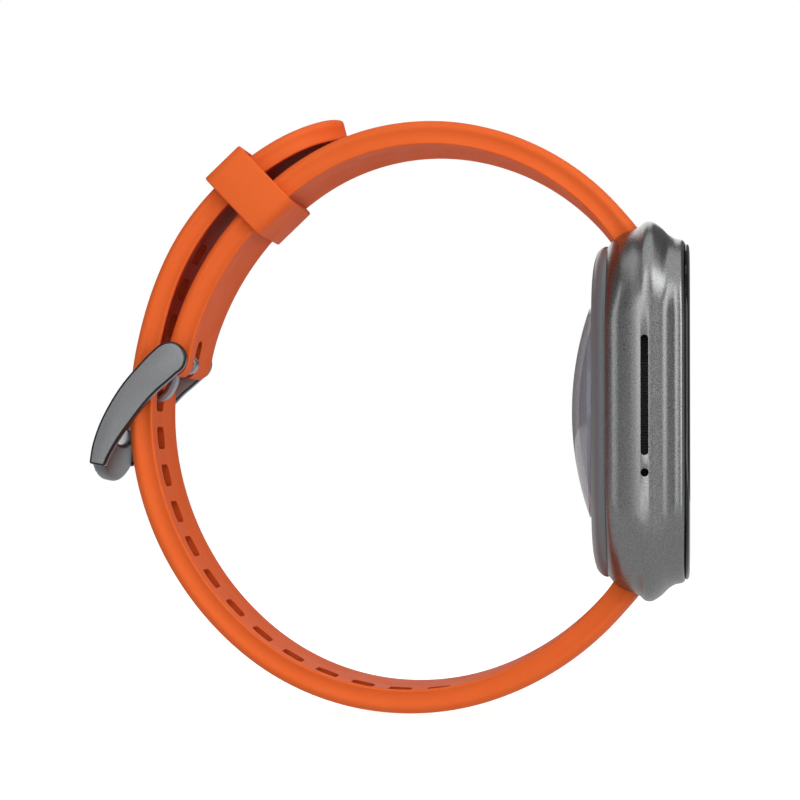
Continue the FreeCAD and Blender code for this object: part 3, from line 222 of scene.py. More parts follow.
bpy.ops.mesh.primitive_plane_add(size=6.0, location=(0, 0, cad_box[0][2] - UNDER))
floor = bpy.context.object
floor.name = "Floor"
pale = Finish("PaleFloor")
bright = pale.node("ShaderNodeBsdfPrincipled", {}, {"Base Color": (0.4, 0.4, 0.4, 1), "Roughness": 0.9,
                                                    "Emission Color": WHITE, "Emission Strength": 0.93})
dull = pale.node("ShaderNodeEmission", {}, {"Color": CARD_GLOW})
seen = pale.node("ShaderNodeLightPath", output="Is Camera Ray")
both = pale.node("ShaderNodeMixShader", {}, {0: seen, 1: dull, 2: bright})
pale.node("ShaderNodeOutputMaterial", {}, {"Surface": both})
floor.data.materials.append(pale.data)
floor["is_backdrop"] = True
print("floor at", round(floor.location.z, 4))

# %% [markdown]
# ## Silicone
# The strap, its keeper and the walls of its holes are silicone rubber: a matt skin with a very fine tooth
# and slow clouds of wear. A flat colour would look like paint, so two noises, one fine and one coarse,
# make the tooth. The hole walls get a darker orange, which is painted shade for the little light inside them.

# %% Silicone
def silicone(name, colour, shadow):
    """Silicone rubber, from its colour and the colour of its worn clouds."""
    finish = Finish(name)
    tooth = finish.noise(9000, detail=2)
    cloud = finish.clip(finish.noise(260, detail=3), 0.35, 0.65)
    lumps = finish.noise(900, detail=1)
    return finish.surface(base_color=finish.mix(cloud * 0.25, colour, shadow),
                          roughness=0.6 + cloud * 0.08, specular_ior_level=0.12,
                          normal=finish.bump(tooth * 0.7 + lumps, 0.00002, 0.35))


ORANGE = silicone("OrangeSilicone", shade(231, 102, 44), shade(225, 95, 38))
# Painted shade: the walls of holes, slot and pocket get a darker orange for the little light that reaches
# into them.
PAINTED_SHADE_HOLE_ORANGE = silicone("OrangeSiliconePaintedShadeInHoles", shade(176, 62, 14), shade(164, 54, 10))
print("strap:", ORANGE.name, "and", PAINTED_SHADE_HOLE_ORANGE.name)

# %% [markdown]
# ## Metals
# The case is aluminium, blasted with fine beads and dyed grey. Its grain could be real pits in the mesh,
# but they are far smaller than a face, so a sharp bump and small changes of tone stand for them. The
# buckle has the same dye on its flat faces. Its polished bevels are painted near black, a painted dark
# reflection, and its edges and cross bar a dark blue-grey, painted shade. Bars, pins and screws are
# turned, which leaves fine rings, so their noise is drawn out across the length. The tang's steel is
# painted darker than the rest, as shade for the slot that it lies in.

# %% Metals
def blasted(name, dark, light, grain=9000.0, rough=0.27, depth=0.00001):
    """Aluminium blasted with beads and dyed: small pits that each catch the light."""
    finish = Finish(name)
    pits = finish.noise(grain, detail=3, rough=0.65)
    speck = finish.clip(pits, 0.42, 0.60)
    colour = finish.mix(speck, dark, light)
    return finish.surface(base_color=colour, metallic=1.0, roughness=rough + speck * 0.06,
                          normal=finish.bump(pits, depth, 0.6))


def turned(name, colour, rough=0.28):
    """Turned steel with fine rings across its length."""
    finish = Finish(name)
    lines = finish.noise(2600, detail=2, stretch=(9.0, 0.4, 0.4))
    light = shade(*[min(255, c + 16) for c in colour])
    return finish.surface(base_color=finish.mix(finish.clip(lines, 0.3, 0.7), shade(*colour), light),
                          metallic=1.0, roughness=rough + lines * 0.12,
                          normal=finish.bump(lines, 0.000008, 0.4))


DYE = 0.00001
BUFFED = 0.000002
SCRATCHED = 0.000004
CASE_METAL = blasted("BlastedCase", (0.18, 0.181, 0.183, 1), (0.30, 0.301, 0.304, 1))
BUCKLE_METAL = blasted("BlastedBuckle", (0.24, 0.243, 0.25, 1), (0.30, 0.303, 0.31, 1), 9000, 0.5, DYE)
# Painted reflection: the polished bevels are near black, a painted dark reflection of the surroundings.
BEVEL_PAINTED_DARK_REFLECTION = blasted("PolishedBevelPaintedDarkReflection", (0.035, 0.037, 0.042, 1), (0.05, 0.052, 0.058, 1), 4000, 0.14, BUFFED)
# Painted shade: the buckle's edges and cross bar are a dark blue-grey for the shade that they lie in.
BUCKLE_SIDE_PAINTED_SHADE = blasted("BuckleSidesPaintedShade", (0.055, 0.062, 0.075, 1), (0.08, 0.088, 0.104, 1), 8000, 0.3, SCRATCHED)
STEEL = turned("TurnedSteel", (190, 190, 194))
# Painted shade: the tang's steel is darker than the other steel, for the slot that it lies in.
TANG_PAINTED_SHADE_STEEL = turned("TangSteelPaintedShade", (128, 130, 138), 0.26)
BRIGHT = turned("TinnedSheet", (206, 204, 198), 0.22)
GOLD = turned("GoldPlate", (214, 172, 98), 0.22)
print("metals:", CASE_METAL.name, BUCKLE_METAL.name, BEVEL_PAINTED_DARK_REFLECTION.name, STEEL.name)

# %% [markdown]
# ## Polymers, glass and inside parts
# The back is glass-filled polymer, moulded in a spark-eroded tool that leaves an even grain. The same
# function serves the frame, seals, boards, foil and film, each with a colour, gloss and grain of its own.
# The cover glass is black because of a print behind it, and a gloss over black is enough to show it.

# %% Polymers, glass and inside parts
def moulded(name, colour, rough=0.45, grain=6000, depth=0.00001, **more):
    """Moulded polymer with a fine spark-eroded grain."""
    finish = Finish(name)
    bumps = finish.noise(grain, detail=2)
    light = shade(*[min(255, c + 7) for c in colour])
    tint = finish.mix(finish.clip(bumps, 0.3, 0.7), shade(*colour), light)
    return finish.surface(base_color=tint, roughness=rough + bumps * 0.06,
                          normal=finish.bump(bumps, depth, 0.5), **more)


def polished_black(name, colour, rough, **more):
    """Glass over a black print: smooth, with the faint unevenness of a polished surface."""
    finish = Finish(name)
    haze = finish.noise(120, detail=2)
    return finish.surface(base_color=colour, roughness=rough + haze * 0.03, **more)


BACK_POLYMER = moulded("BackPolymer", (104, 105, 108), 0.3, 8000)
FRAME_POLYMER = moulded("FramePolymer", (42, 43, 46), 0.5)
BLACK_POLYMER = moulded("BlackPolymer", (16, 16, 18), 0.42)
SEAL_RUBBER = moulded("SealRubber", (22, 22, 22), 0.6)
BLACK_GLASS = polished_black("BlackGlass", (0.004, 0.004, 0.005, 1), 0.03, specular_ior_level=0.6)
DISPLAY = polished_black("DisplayPanel", (0.006, 0.006, 0.008, 1), 0.12)
BOARD = moulded("SolderMask", (14, 74, 50), 0.3, 3000)
FOIL = moulded("BatteryFoil", (150, 151, 154), 0.35, 900, 0.00004, metallic=0.7)
CERAMIC = moulded("Ceramic", (214, 208, 190), 0.35)
FILM = moulded("AmberFilm", (168, 104, 34), 0.25, 1500)
DIODE = moulded("DiodePackage", (64, 58, 84), 0.15)
GREEN_LED = moulded("LightPackage", (122, 190, 120), 0.2)
print("polymers:", BACK_POLYMER.name, FRAME_POLYMER.name, BLACK_POLYMER.name)

# %% [markdown]
# ## Sound mesh and lens
# Behind each sound opening lies a woven mesh, too fine to model thread by thread, so a band pattern gives
# its colour and its bump. The lens over the sensor is clear. Clear stock looks denser where the eye meets
# it at a low angle, so its rim is darker and hides more of what lies behind.

# %% Sound mesh and lens
def mesh_cloth(name):
    """A woven black mesh over a sound opening."""
    finish = Finish(name)
    place = finish.node("ShaderNodeTexCoord", output="Object")
    weave = finish.node("ShaderNodeTexWave", {"bands_direction": "Z"}, {"Vector": place, "Scale": 900.0})
    return finish.surface(base_color=finish.mix(weave, (0.002, 0.002, 0.002, 1), (0.02, 0.02, 0.02, 1)),
                          roughness=0.6 + weave * 0.1, normal=finish.bump(weave, 0.00005))


def clear_lens(name):
    """A clear lens with a faint grey-violet tint, thicker to look through at its rim."""
    finish = Finish(name)
    rim = finish.node("ShaderNodeLayerWeight", {}, {"Blend": 0.35}, output="Facing")
    edge = rim ** 3
    haze = finish.noise(80)
    return finish.surface(base_color=finish.mix(edge, shade(170, 172, 188), shade(38, 40, 46)),
                          roughness=0.06 + haze * 0.03, alpha=1 - (1 - edge) * 0.44,
                          specular_ior_level=0.3)


MESH = mesh_cloth("SoundMesh")
LENS = clear_lens("ClearLens")
print(len(bpy.data.materials), "finishes")

# %% [markdown]
# ## Making pieces
# Most pieces are sections joined into a skin. That is how a loft works on a drawing board, and it keeps
# every section exact, where sculpting would not. A piece takes its corners in millimetres, gets its
# finish, and rides on the CAD body that it belongs to.

# %% New pieces and skins
def new_piece(name, corners, faces, *finishes):
    """A mesh object from corners in millimetres."""
    mesh = bpy.data.meshes.new(name)
    mesh.from_pydata([Vector(c) * MM for c in corners], [], faces)
    for finish in finishes:
        mesh.materials.append(finish)
    piece = bpy.data.objects.new(name, mesh)
    bpy.context.scene.collection.objects.link(piece)
    return piece


def skin(rings, closed=False):
    """Joins rings of corners into one closed skin."""
    count = len(rings[0])
    corners = [c for ring in rings for c in ring]
    last = len(rings) if closed else len(rings) - 1
    faces = []
    for r in range(last):
        for i in range(count):
            here, there = r * count, (r + 1) % len(rings) * count
            beside = (i + 1) % count
            faces.append((here + i, here + beside, there + beside, there + i))
    if not closed:
        faces.append(tuple(reversed(range(count))))
        faces.append(tuple(range((len(rings) - 1) * count, len(rings) * count)))
    return corners, faces


def face_outward(piece):
    """Turns every face of a closed piece outward."""
    work = bmesh.new()
    work.from_mesh(piece.data)
    bmesh.ops.recalc_face_normals(work, faces=work.faces)
    work.to_mesh(piece.data)
    work.free()
    return piece


# %% Cutting, rounding and shading a piece
def applied(piece):
    """Makes the modifiers of a piece part of its mesh."""
    shaped = piece.evaluated_get(bpy.context.evaluated_depsgraph_get())
    mesh = bpy.data.meshes.new_from_object(shaped)
    piece.modifiers.clear()
    piece.data = mesh
    return piece


def cut_away(piece, tool, operation="DIFFERENCE"):
    """Cuts a closed tool out of a piece, or joins it on, and removes the tool."""
    cut = piece.modifiers.new("Cut", "BOOLEAN")
    cut.operation, cut.solver, cut.object = operation, "EXACT", tool
    applied(piece)
    bpy.data.objects.remove(tool)
    return piece


def smooth(piece, degrees=35.0):
    """Smooth shading, with edges sharper than an angle kept crisp."""
    piece.data.shade_smooth()
    piece.data.set_sharp_from_angle(angle=math.radians(degrees))
    return piece


def soften(piece, width, segments=2, degrees=35.0, finish=-1):
    """Rounds the edges that are sharper than an angle."""
    bevel = piece.modifiers.new("Bevel", "BEVEL")
    bevel.width, bevel.segments, bevel.limit_method = width * MM, segments, "ANGLE"
    bevel.angle_limit, bevel.material, bevel.harden_normals = math.radians(degrees), finish, False
    return applied(piece)

# %% [markdown]
# ## The strap
# Each half is moulded in one piece. Its section isn't a plain rectangle: the face on the wrist is hollow,
# so that only its two edges touch the skin, and the outside is crowned. Holes are hard to cut in a bent
# strip, so the half is made flat first, as if lying on a bench, the holes are cut there, and then it is
# bent round the wrist along tangent arcs.

# %% The lines that the two halves follow
class Route:
    """A line of tangent arcs in the plane of the ring, in millimetres."""

    def __init__(self, start, heading, side, arcs):
        self.side, self.parts, run = side, [], 0.0
        point = Vector((0.0, *start))
        for radius, turn in arcs:
            centre = point + self.left(heading) * (side * radius)
            self.parts.append((run, heading, centre, radius))
            heading += side * turn
            point = centre - self.left(heading) * (side * radius)
            run += math.radians(turn) * radius
        self.length = run

    @staticmethod
    def left(heading):
        return Vector((0.0, -math.sin(math.radians(heading)), math.cos(math.radians(heading))))

    def frame(self, distance):
        """The point, the direction ahead and the direction away from the wrist."""
        held = min(max(distance, 0.0), self.length)
        run, heading, centre, radius = [p for p in self.parts if p[0] <= held][-1]
        turned = heading + self.side * math.degrees((held - run) / radius)
        point = centre - self.left(turned) * (self.side * radius)
        ahead = self.left(turned - 90)
        return point + ahead * (distance - held), ahead, self.left(turned) * -self.side


UPPER = Route((-32.3, 21.0), 57.5, -1, [(30.5, 47.0), (28.5, 45.0), (38.0, 44.0)])
LOWER = Route((-32.3, -21.0), -55.9, 1, [(35.5, 34.5), (31.6312, 61.2542), (37.7284, 52.7958),
                                         (40.8146, 21.7608), (40.76, 21.7892), (29.0, 28.65)])
print("upper", round(UPPER.length, 1), "mm, lower", round(LOWER.length, 1), "mm")

# %% The strap's section
HALF_AT_CASE = 10.9
WRIST_EDGE, HOLLOW = -1.62, 0.62
OUTER_EDGE, CROWNING = 1.34, 0.5
LIP, SHOULDER = 0.22, 1.25
SIDE_FOOT, SIDE_TOP, SIDE_SWELL = 0.25, 0.5, 0.32


def strap_section(half, thick):
    """Corners round the section: x across, t away from the wrist. thick scales the thickness."""
    def inner(x):
        return WRIST_EDGE + HOLLOW * (1 - (x / half) ** 2)

    def outer(x):
        return OUTER_EDGE + CROWNING * (1 - (x / half) ** 2)

    lip = min(LIP, half * 0.2)
    shoulder = min(SHOULDER, half * 0.45)
    corners = [(half * share, inner(half * share)) for share in
               [-1 + lip / half + (2 - 2 * lip / half) * i / 16 for i in range(17)]]
    corners += [(half - lip * (1 - math.sin(a)), inner(half - lip) + lip * (1 - math.cos(a)) + 0.02)
                for a in (0.55, 1.1, 1.57)]
    foot = inner(half) + SIDE_FOOT
    corners += [(half - SIDE_SWELL * math.sin(math.pi * u), foot + (SIDE_TOP - foot) * u)
                for u in (0.15, 0.32, 0.5, 0.68, 0.85)]
    top = outer(half - shoulder)
    corners += [(half - shoulder * (1 - math.cos(a)), SIDE_TOP + (top - SIDE_TOP) * math.sin(a))
                for a in (0.0, 0.3, 0.6, 0.9, 1.2)]
    crown = [(half - shoulder) * (1 - 2 * i / 14) for i in range(15)]
    corners += [(x, outer(x)) for x in crown]
    mirrored = [(-x, t) for x, t in reversed(corners[17:30])]
    return [(x, t * thick) for x, t in corners + mirrored]


print("section has", len(strap_section(HALF_AT_CASE, 1.0)), "corners")

# %% A flat half
def flat_half(name, stations):
    """A strap half lying flat. A station is (distance, half the width, thickness share)."""
    rings = [[(x, s, t) for x, t in strap_section(half, thick)] for s, half, thick in stations]
    return face_outward(new_piece(name, *skin(rings), ORANGE, PAINTED_SHADE_HOLE_ORANGE))


def rounded_end(s, tip, radius):
    """How thick the strap is near an end that is rounded over: 1 inside, 0 at the tip."""
    inside = (tip - s) / radius
    return math.sqrt(max(0.0, 1 - (1 - inside) ** 2)) if inside < 1 else 1.0


print("a quarter into a round end the strap is", round(rounded_end(0.75, 1.0, 1.0), 2), "thick")


# %% Tools that cut it
def slot_tool(centre, length, width, levels, steps=8):
    """A slot's shape with rounded corners, stacked from levels of (height, extra size)."""
    rings = []
    for height, extra in levels:
        a, b = length / 2 + extra, width / 2 + extra
        radius = min(a, b) * 0.72
        ring = []
        for corner, (sx, sy) in enumerate(((1, 1), (-1, 1), (-1, -1), (1, -1))):
            for i in range(steps + 1):
                angle = math.radians(90 * corner + 90 * i / steps)
                ring.append((sx * (b - radius) + radius * math.cos(angle),
                             centre + sy * (a - radius) + radius * math.sin(angle), height))
        rings.append(ring)
    return skin(rings)


def all_in_one(name, parts, *finishes):
    """Several closed skins as one tool, which leaves the last finish where it cuts."""
    corners, faces = [], []
    for part_corners, part_faces in parts:
        faces += [tuple(i + len(corners) for i in face) for face in part_faces]
        corners += part_corners
    tool = face_outward(new_piece(name, corners, faces, *finishes))
    for face in tool.data.polygons:
        face.material_index = len(finishes) - 1
    return tool


print("a slot tool has", len(slot_tool(0, 3, 6, ((-1, 0), (1, 0)))[1]), "faces")


# %% The bend
def bent(piece, route, lift=lambda s: 0.0):
    """Bends a flat piece along a route: its y is the distance along, and its z points outward."""
    for corner in piece.data.vertices:
        x, s, t = corner.co / MM
        point, _, out = route.frame(s)
        place = point + out * (t + lift(s))
        corner.co = Vector((x, place.y, place.z)) * MM
    piece.data.update()
    return face_outward(piece)


print("the short half ends at", [round(v, 1) for v in UPPER.frame(UPPER.length)[0].yz], "mm")

# %% [markdown]
# ## The short half
# It carries the buckle. Its end is rounded over the buckle's bar, and a slot there leaves room for the
# tang. Near the case, a pocket on the wrist side gives a fingernail access to the release lever. The
# thickness fades to nothing at each end as a circle does, which rounds the ends without another tool.

# %% The short half
HEAD_ROUND = 1.75
END_ROUND = 1.8


def upper_station(s):
    """How wide and how thick the short half is at a distance from the case."""
    share = min(max(s / UPPER.length, 0.0), 1.0)
    half = HALF_AT_CASE - 1.0 * share
    thick = 1.0 + 0.1 * max(0.0, 1 - abs(s) / 4) + 0.06 * max(0.0, 1 - abs(s - UPPER.length) / 4)
    thick *= rounded_end(s, UPPER.length + END_ROUND, END_ROUND) * rounded_end(-s, HEAD_ROUND, HEAD_ROUND)
    return s, half, thick


HEAD = [-1.74, -1.6, -1.3, -0.8, 0.0]
STEP = 0.9
tip = UPPER.length + 1.79
spots = HEAD + [i * STEP for i in range(1, 85)] + [tip - d for d in (1.6, 1.0, 0.5, 0.2, 0.06)] + [tip]
upper_half = flat_half("StrapShortHalf", [upper_station(s) for s in spots])
print("short half:", len(upper_half.data.vertices), "corners while flat")

# %% Its slot and pocket, and the bend
SLOT_LENGTH = 8.4
SLOT_WALLS = ((-4, 0.2), (-1.6, 0.1), (-1.3, 0.0), (1.3, 0.0), (1.7, 0.2), (4, 0.5))
slot = slot_tool(UPPER.length - 3.3 + SLOT_LENGTH / 2, SLOT_LENGTH, 3.9, SLOT_WALLS)
pocket = slot_tool(0.0, 2.6, 4.6, ((-4, 0.6), (-1.5, 0.15), (-1.2, 0.0), (-0.2, 0.0)))
pocket = ([(x - 6.4, s, t) for x, s, t in pocket[0]], pocket[1])
# The walls of the slot and pocket take the darker orange of painted shade.
cut_away(upper_half, all_in_one("Tools", [slot, pocket], ORANGE, PAINTED_SHADE_HOLE_ORANGE))
smooth(bent(upper_half, UPPER), 42)
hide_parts("upper_strap")
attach(upper_half, "case")
print("short half:", len(upper_half.data.polygons), "faces")

# %% [markdown]
# ## The long half
# Seventeen oblong holes, five millimetres apart, run from the tail round under the wrist. Their rims are
# rounded, as the mould's pins leave them, so the tool that cuts them flares at both faces. The tail ends
# in a half round.

# %% The long half
TANG_AT = 89.9577
HOLE_PITCH = 5.0
HOLE_WALLS = ((-4.0, 0.75), (-1.35, 0.34), (-1.1, 0.12), (-0.8, 0.0), (0.9, 0.0), (1.5, 0.12), (1.75, 0.4),
              (4.0, 0.75))
TAIL_ROUND = 9.5
LIFT, LIFT_AT, LIFT_REACH = 0.5, 112.0, 17.0


def lower_station(s):
    """How wide and how thick the long half is at a distance from the case."""
    half = HALF_AT_CASE - 1.4 * min(max(s / LOWER.length, 0.0), 1.0)
    into_tail = s - (LOWER.length - TAIL_ROUND)
    if into_tail > 0:
        half = min(half, math.sqrt(max(TAIL_ROUND ** 2 - into_tail ** 2, 0.02)))
    thick = 1.0 + 0.1 * max(0.0, 1 - abs(s) / 4)
    thick -= 0.08 * min(max((s - LOWER.length + 40) / 10, 0.0), 1.0)
    thick *= rounded_end(-s, HEAD_ROUND, HEAD_ROUND) * (0.62 + 0.38 * rounded_end(s, LOWER.length, 2.2))
    return s, half, thick


def before_keeper(s):
    """The long half stands a little off the short one on both sides of the keeper's middle."""
    share = min(abs(s - LIFT_AT) / LIFT_REACH, 1.0)
    return LIFT * math.cos(share * math.pi / 2) ** 2


body = HEAD + [i * STEP for i in range(1, 140)]
tail_from = LOWER.length - TAIL_ROUND
tail = [tail_from + TAIL_ROUND * math.sin(math.radians(a)) for a in range(2, 91, 4)] + [LOWER.length]
spots = [s for s in body if s < tail_from] + tail
lower_half = flat_half("StrapLongHalf", [lower_station(s) for s in spots])
print("long half:", len(lower_half.data.vertices), "corners while flat")

# %% Its holes, and the bend
holes = [slot_tool(TANG_AT + HOLE_PITCH * index, 2.8, 5.6, HOLE_WALLS) for index in range(-12, 5)]
# The hole walls take the darker orange of painted shade.
cut_away(lower_half, all_in_one("Tools", holes + [pocket], ORANGE, PAINTED_SHADE_HOLE_ORANGE))
smooth(bent(lower_half, LOWER, before_keeper), 42)
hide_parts("lower_strap")
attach(lower_half, "case")
print("long half:", len(lower_half.data.polygons), "faces,", len(holes), "holes")

# %% [markdown]
# ## The case shell
# The case is milled from one block and has no flat side: each wall swells towards its middle, narrows to
# a groove and ends in a rim round the glass. A block with rounded edges would lose that swell, so rounded
# rectangles at many depths are joined into a skin. The display recess, the hollow for the inside, the
# strap channels and the sound openings are then cut, as the mill would.

# %% Smooth lines through points
def through(points, share):
    """A smooth line through points, sampled from 0 to 1."""
    spot = share * (len(points) - 1)
    index = min(int(spot), len(points) - 2)
    t = spot - index
    before, first = points[max(index - 1, 0)], points[index]
    last, after = points[index + 1], points[min(index + 2, len(points) - 1)]
    return tuple(0.5 * ((2 * b) + (c - a) * t + (2 * a - 5 * b + 4 * c - d) * t * t
                        + (3 * b - a - 3 * c + d) * t ** 3)
                 for a, b, c, d in zip(before, first, last, after))


def smoothed(points, steps):
    """The smooth line divided into so many steps."""
    return [through(points, i / steps) for i in range(steps + 1)]


print("half way along three points:", through([(0.0,), (1.0,), (4.0,)], 0.5))

# %% The barrel of the case
BACK = -29.2
CASE_DEPTH = 9.8
WALL = [(0.0, 18.0, 20.4), (0.12, 18.45, 20.62), (0.4, 18.9, 20.95), (0.8, 19.25, 21.35), (1.4, 19.55, 21.82),
        (2.0, 19.75, 22.2), (3.0, 19.93, 22.58), (3.8, 20.0, 22.84), (4.3, 20.0, 23.15), (4.8, 19.97, 23.55),
        (5.3, 19.9, 23.68), (5.8, 19.8, 23.6), (6.3, 19.66, 23.33), (6.9, 19.5, 22.9), (7.3, 19.44, 22.5),
        (7.7, 19.46, 22.1), (8.2, 19.56, 21.75), (8.6, 19.64, 21.55), (9.0, 19.62, 21.46), (9.4, 19.5, 21.38),
        (9.68, 19.2, 21.2), (CASE_DEPTH, 18.85, 20.98)]


def eased(part, power):
    """A sine or cosine raised to a power, with its sign kept."""
    return math.copysign(abs(part) ** power, part)


def round_rectangle(half_x, half_z, radius, y, steps=12, power=1.0):
    """A rounded rectangle that faces along Y. A power below 1 lets its corners start more gently."""
    ring = []
    for quarter, (sx, sz) in enumerate(((1, 1), (-1, 1), (-1, -1), (1, -1))):
        for i in range(steps + 1):
            angle = math.radians(90 * (quarter + i / steps))
            ring.append((sx * (half_x - radius) + radius * eased(math.cos(angle), power), y,
                         sz * (half_z - radius) + radius * eased(math.sin(angle), power)))
    return ring


def barrel(rows, steps):
    """Sections of the case from rows of (depth from the back, half the width, half the length)."""
    return [round_rectangle(across, along, 10.6 - 0.5 * depth / CASE_DEPTH, BACK - depth, 16)
            for depth, across, along in smoothed(rows, steps)]


shell = face_outward(new_piece("CaseShell", *skin(barrel(WALL, 80)), CASE_METAL))
print("shell", [round(v / MM, 1) for v in shell.dimensions])


# %% Shapes of the mill's cuts
def along_x(outline, start, end):
    """A prism from an outline of (y, z) corners."""
    return skin([[(x, y, z) for y, z in outline] for x in (start, end)])


def side_slot(y, z, width, length, start, end, steps=10):
    """A round-ended opening through a side wall."""
    radius = width / 2
    ring = []
    for i in range(2 * steps):
        angle = 360 * (i + 0.5) / (2 * steps)
        end_of_slot = (length / 2 - radius) * (1 if angle < 180 else -1)
        ring.append((y + radius * math.cos(math.radians(angle)),
                     z + end_of_slot + radius * math.sin(math.radians(angle))))
    return along_x(ring, start, end)


print("a side opening has", len(side_slot(0, 0, 1, 3, 0, 1)[0]), "corners")

# %% What the mill cuts away
POCKETS = [(16.8, 17.2, 7.0, -28.0), (16.8, 17.2, 7.0, -37.5), (15.45, 16.95, 7.25, -37.52),
           (15.45, 16.95, 7.25, -38.45), (17.9, 20.9, 8.7, -38.47), (17.9, 20.9, 8.7, -40.0)]
hollow = skin([round_rectangle(*pocket_row) for pocket_row in POCKETS])
cut_away(shell, face_outward(new_piece("Hollow", *hollow, CASE_METAL)))

CHANNEL = [(-35.25, 18.6), (-27.9, 18.6), (-27.9, 26.5), (-33.6, 26.5), (-33.6, 23.1), (-35.25, 22.75)]
CHANNEL_HALF = 11.2
SIDE_MIDDLE = -34.1
CROWN_UP = 9.5
tools = [along_x([(y, z * side) for y, z in CHANNEL], -CHANNEL_HALF, CHANNEL_HALF) for side in (1, -1)]
tools += [side_slot(SIDE_MIDDLE, 1.85, 0.95, 14.7, -21.5, -16.0),
          side_slot(SIDE_MIDDLE, -7.6, 1.0, 1.02, -21.5, -16.0),
          side_slot(SIDE_MIDDLE, CROWN_UP, 3.0, 3.02, 16.0, 21.5)]
cut_away(shell, all_in_one("Mill", tools, CASE_METAL))
soften(shell, 0.13, 2, 50)
smooth(shell, 38)
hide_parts("mid_case")
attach(shell, "case")
print("shell has", len(shell.data.polygons), "faces")

# %% [markdown]
# ## The cover glass
# The glass is a pillow: flat in the middle and rounded to its edge, where it just covers the seam. A
# bevelled plate would round the edge evenly, but a pressed pillow starts gently and ends steeply, so its
# sections are drawn one by one.

# %% The cover glass
PILLOW = [(17.8, 20.8, -38.5), (17.8, 20.8, -38.9), (18.5, 20.75, -39.0), (18.72, 20.95, -39.08),
          (18.76, 20.98, -39.2), (18.66, 20.88, -39.38), (18.35, 20.6, -39.52), (17.8, 20.05, -39.59),
          (17.0, 19.2, -39.6)]
pillow = [round_rectangle(across, along, 9.6, y, 12, 0.95) for across, along, y in PILLOW]
glass = smooth(face_outward(new_piece("CoverGlass", *skin(pillow), BLACK_GLASS)), 50)
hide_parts("cover_glass")
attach(glass, "case")
print("glass", [round(v / MM, 1) for v in glass.dimensions])

# %% [markdown]
# ## The back
# The back is a thin moulded cover that curves in from its rim, with a round opening for the lens. A domed
# disc wouldn't meet the case, whose corners are rounded rectangles, so the cover is lofted as the case is.
# The opening is cut afterwards, and takes its size from the lens itself.

# %% The back cover
COVER = [(17.7, 20.3, -29.7), (17.98, 20.6, -29.5), (18.0, 20.66, -29.2), (17.88, 20.48, -28.75),
         (17.45, 19.95, -28.2), (16.7, 19.1, -27.85), (15.6, 17.9, -27.6), (14.3, 16.4, -27.45),
         (13.0, 14.9, -27.4)]
STRAIGHT = 8.2
cover_rings = [round_rectangle(across, along, across - STRAIGHT, y)
               for across, along, y in smoothed(COVER, 32)]
cover = face_outward(new_piece("BackCover", *skin(cover_rings), BACK_POLYMER))
low, high = (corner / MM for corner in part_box("sensor_window"))
lens_radius = (high.z - low.z) / 2
turn = [math.radians(3 * i) for i in range(120)]
seat = lens_radius + 0.05
opening = skin([[(r * math.cos(a), y, r * math.sin(a)) for a in turn]
                for y, r in ((-31.0, seat), (-27.65, seat), (-26.0, lens_radius + 1.7))])
cut_away(cover, face_outward(new_piece("Opening", *opening, BACK_POLYMER)))
smooth(cover, 40)
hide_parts("rear_cover")
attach(cover, "case")
print("back cover for a lens of radius", round(lens_radius, 2))

# %% [markdown]
# ## The crown
# A turned knob with a fluted grip. Flutes could be cut one by one, but forty-eight cuts are slow and leave
# slivers. Here they are a wave in the radius of each section, and the sections run plain again near both
# ends, so the flutes fade out as they do under a form cutter.

# %% The crown
FLUTES = 48


def crown_ring(x, radius, depth):
    """A section of the knob, with flutes so deep."""
    ring = []
    for i in range(FLUTES * 6):
        angle = 2 * math.pi * i / (FLUTES * 6)
        reach = radius - depth * (0.5 + 0.5 * math.cos(FLUTES * angle))
        ring.append((x, SIDE_MIDDLE + reach * math.cos(angle), CROWN_UP + reach * math.sin(angle)))
    return ring


crown_rows = [(20.5, 3.2, 0), (20.55, 3.36, 0), (20.7, 3.48, 0), (20.85, 3.5, 0.03), (21.0, 3.5, 0.16),
              (22.2, 3.5, 0.16), (22.38, 3.5, 0.04), (22.5, 3.49, 0), (22.68, 3.4, 0), (22.8, 3.22, 0),
              (22.86, 3.0, 0), (22.82, 2.7, 0), (22.8, 2.55, 0), (22.87, 2.3, 0), (22.95, 1.6, 0),
              (22.99, 0.8, 0), (23.0, 0.2, 0)]
crown_skin = skin([crown_ring(*row) for row in crown_rows])
knob = smooth(face_outward(new_piece("CrownKnob", *crown_skin, BUCKLE_METAL)), 50)
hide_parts("crown_knob")
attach(knob, "crown")
print("crown", round(knob.dimensions.y / MM, 2), "mm across")

# %% [markdown]
# ## The keeper
# A loop of the same silicone that holds the tail down. It's a band with room for both halves, and its
# edges are only just rounded, so it looks crisper than the strap. Four rounded rectangles, two outside and
# two inside, are joined in a ring, which keeps the wall even all round.

# %% The keeper
KEEPER_AT = 53.571
KEEPER_OUT = 2.38
KEEPER_REACH = 3.0


def keeper_ring(half_x, half_out, radius, along):
    """Corners of one edge of the loop: a rounded rectangle across the strap."""
    point, ahead, out = UPPER.frame(KEEPER_AT)
    ring = round_rectangle(half_x, half_out, radius, 0.0, 6)
    return [Vector((x, 0, 0)) + point + ahead * along + out * (o + KEEPER_OUT) for x, _, o in ring]


OUTSIDE, INSIDE = (11.22, 5.02, 1.5), (10.5, 4.32, 0.9)
loop = [keeper_ring(*OUTSIDE, -KEEPER_REACH), keeper_ring(*OUTSIDE, KEEPER_REACH),
        keeper_ring(*INSIDE, KEEPER_REACH), keeper_ring(*INSIDE, -KEEPER_REACH)]
keeper = face_outward(new_piece("KeeperLoop", *skin(loop, closed=True), ORANGE))
smooth(soften(keeper, 0.24, 3, 50), 40)
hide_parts("keeper_loop")
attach(keeper, "keeper")
print("keeper", len(keeper.data.polygons), "faces")
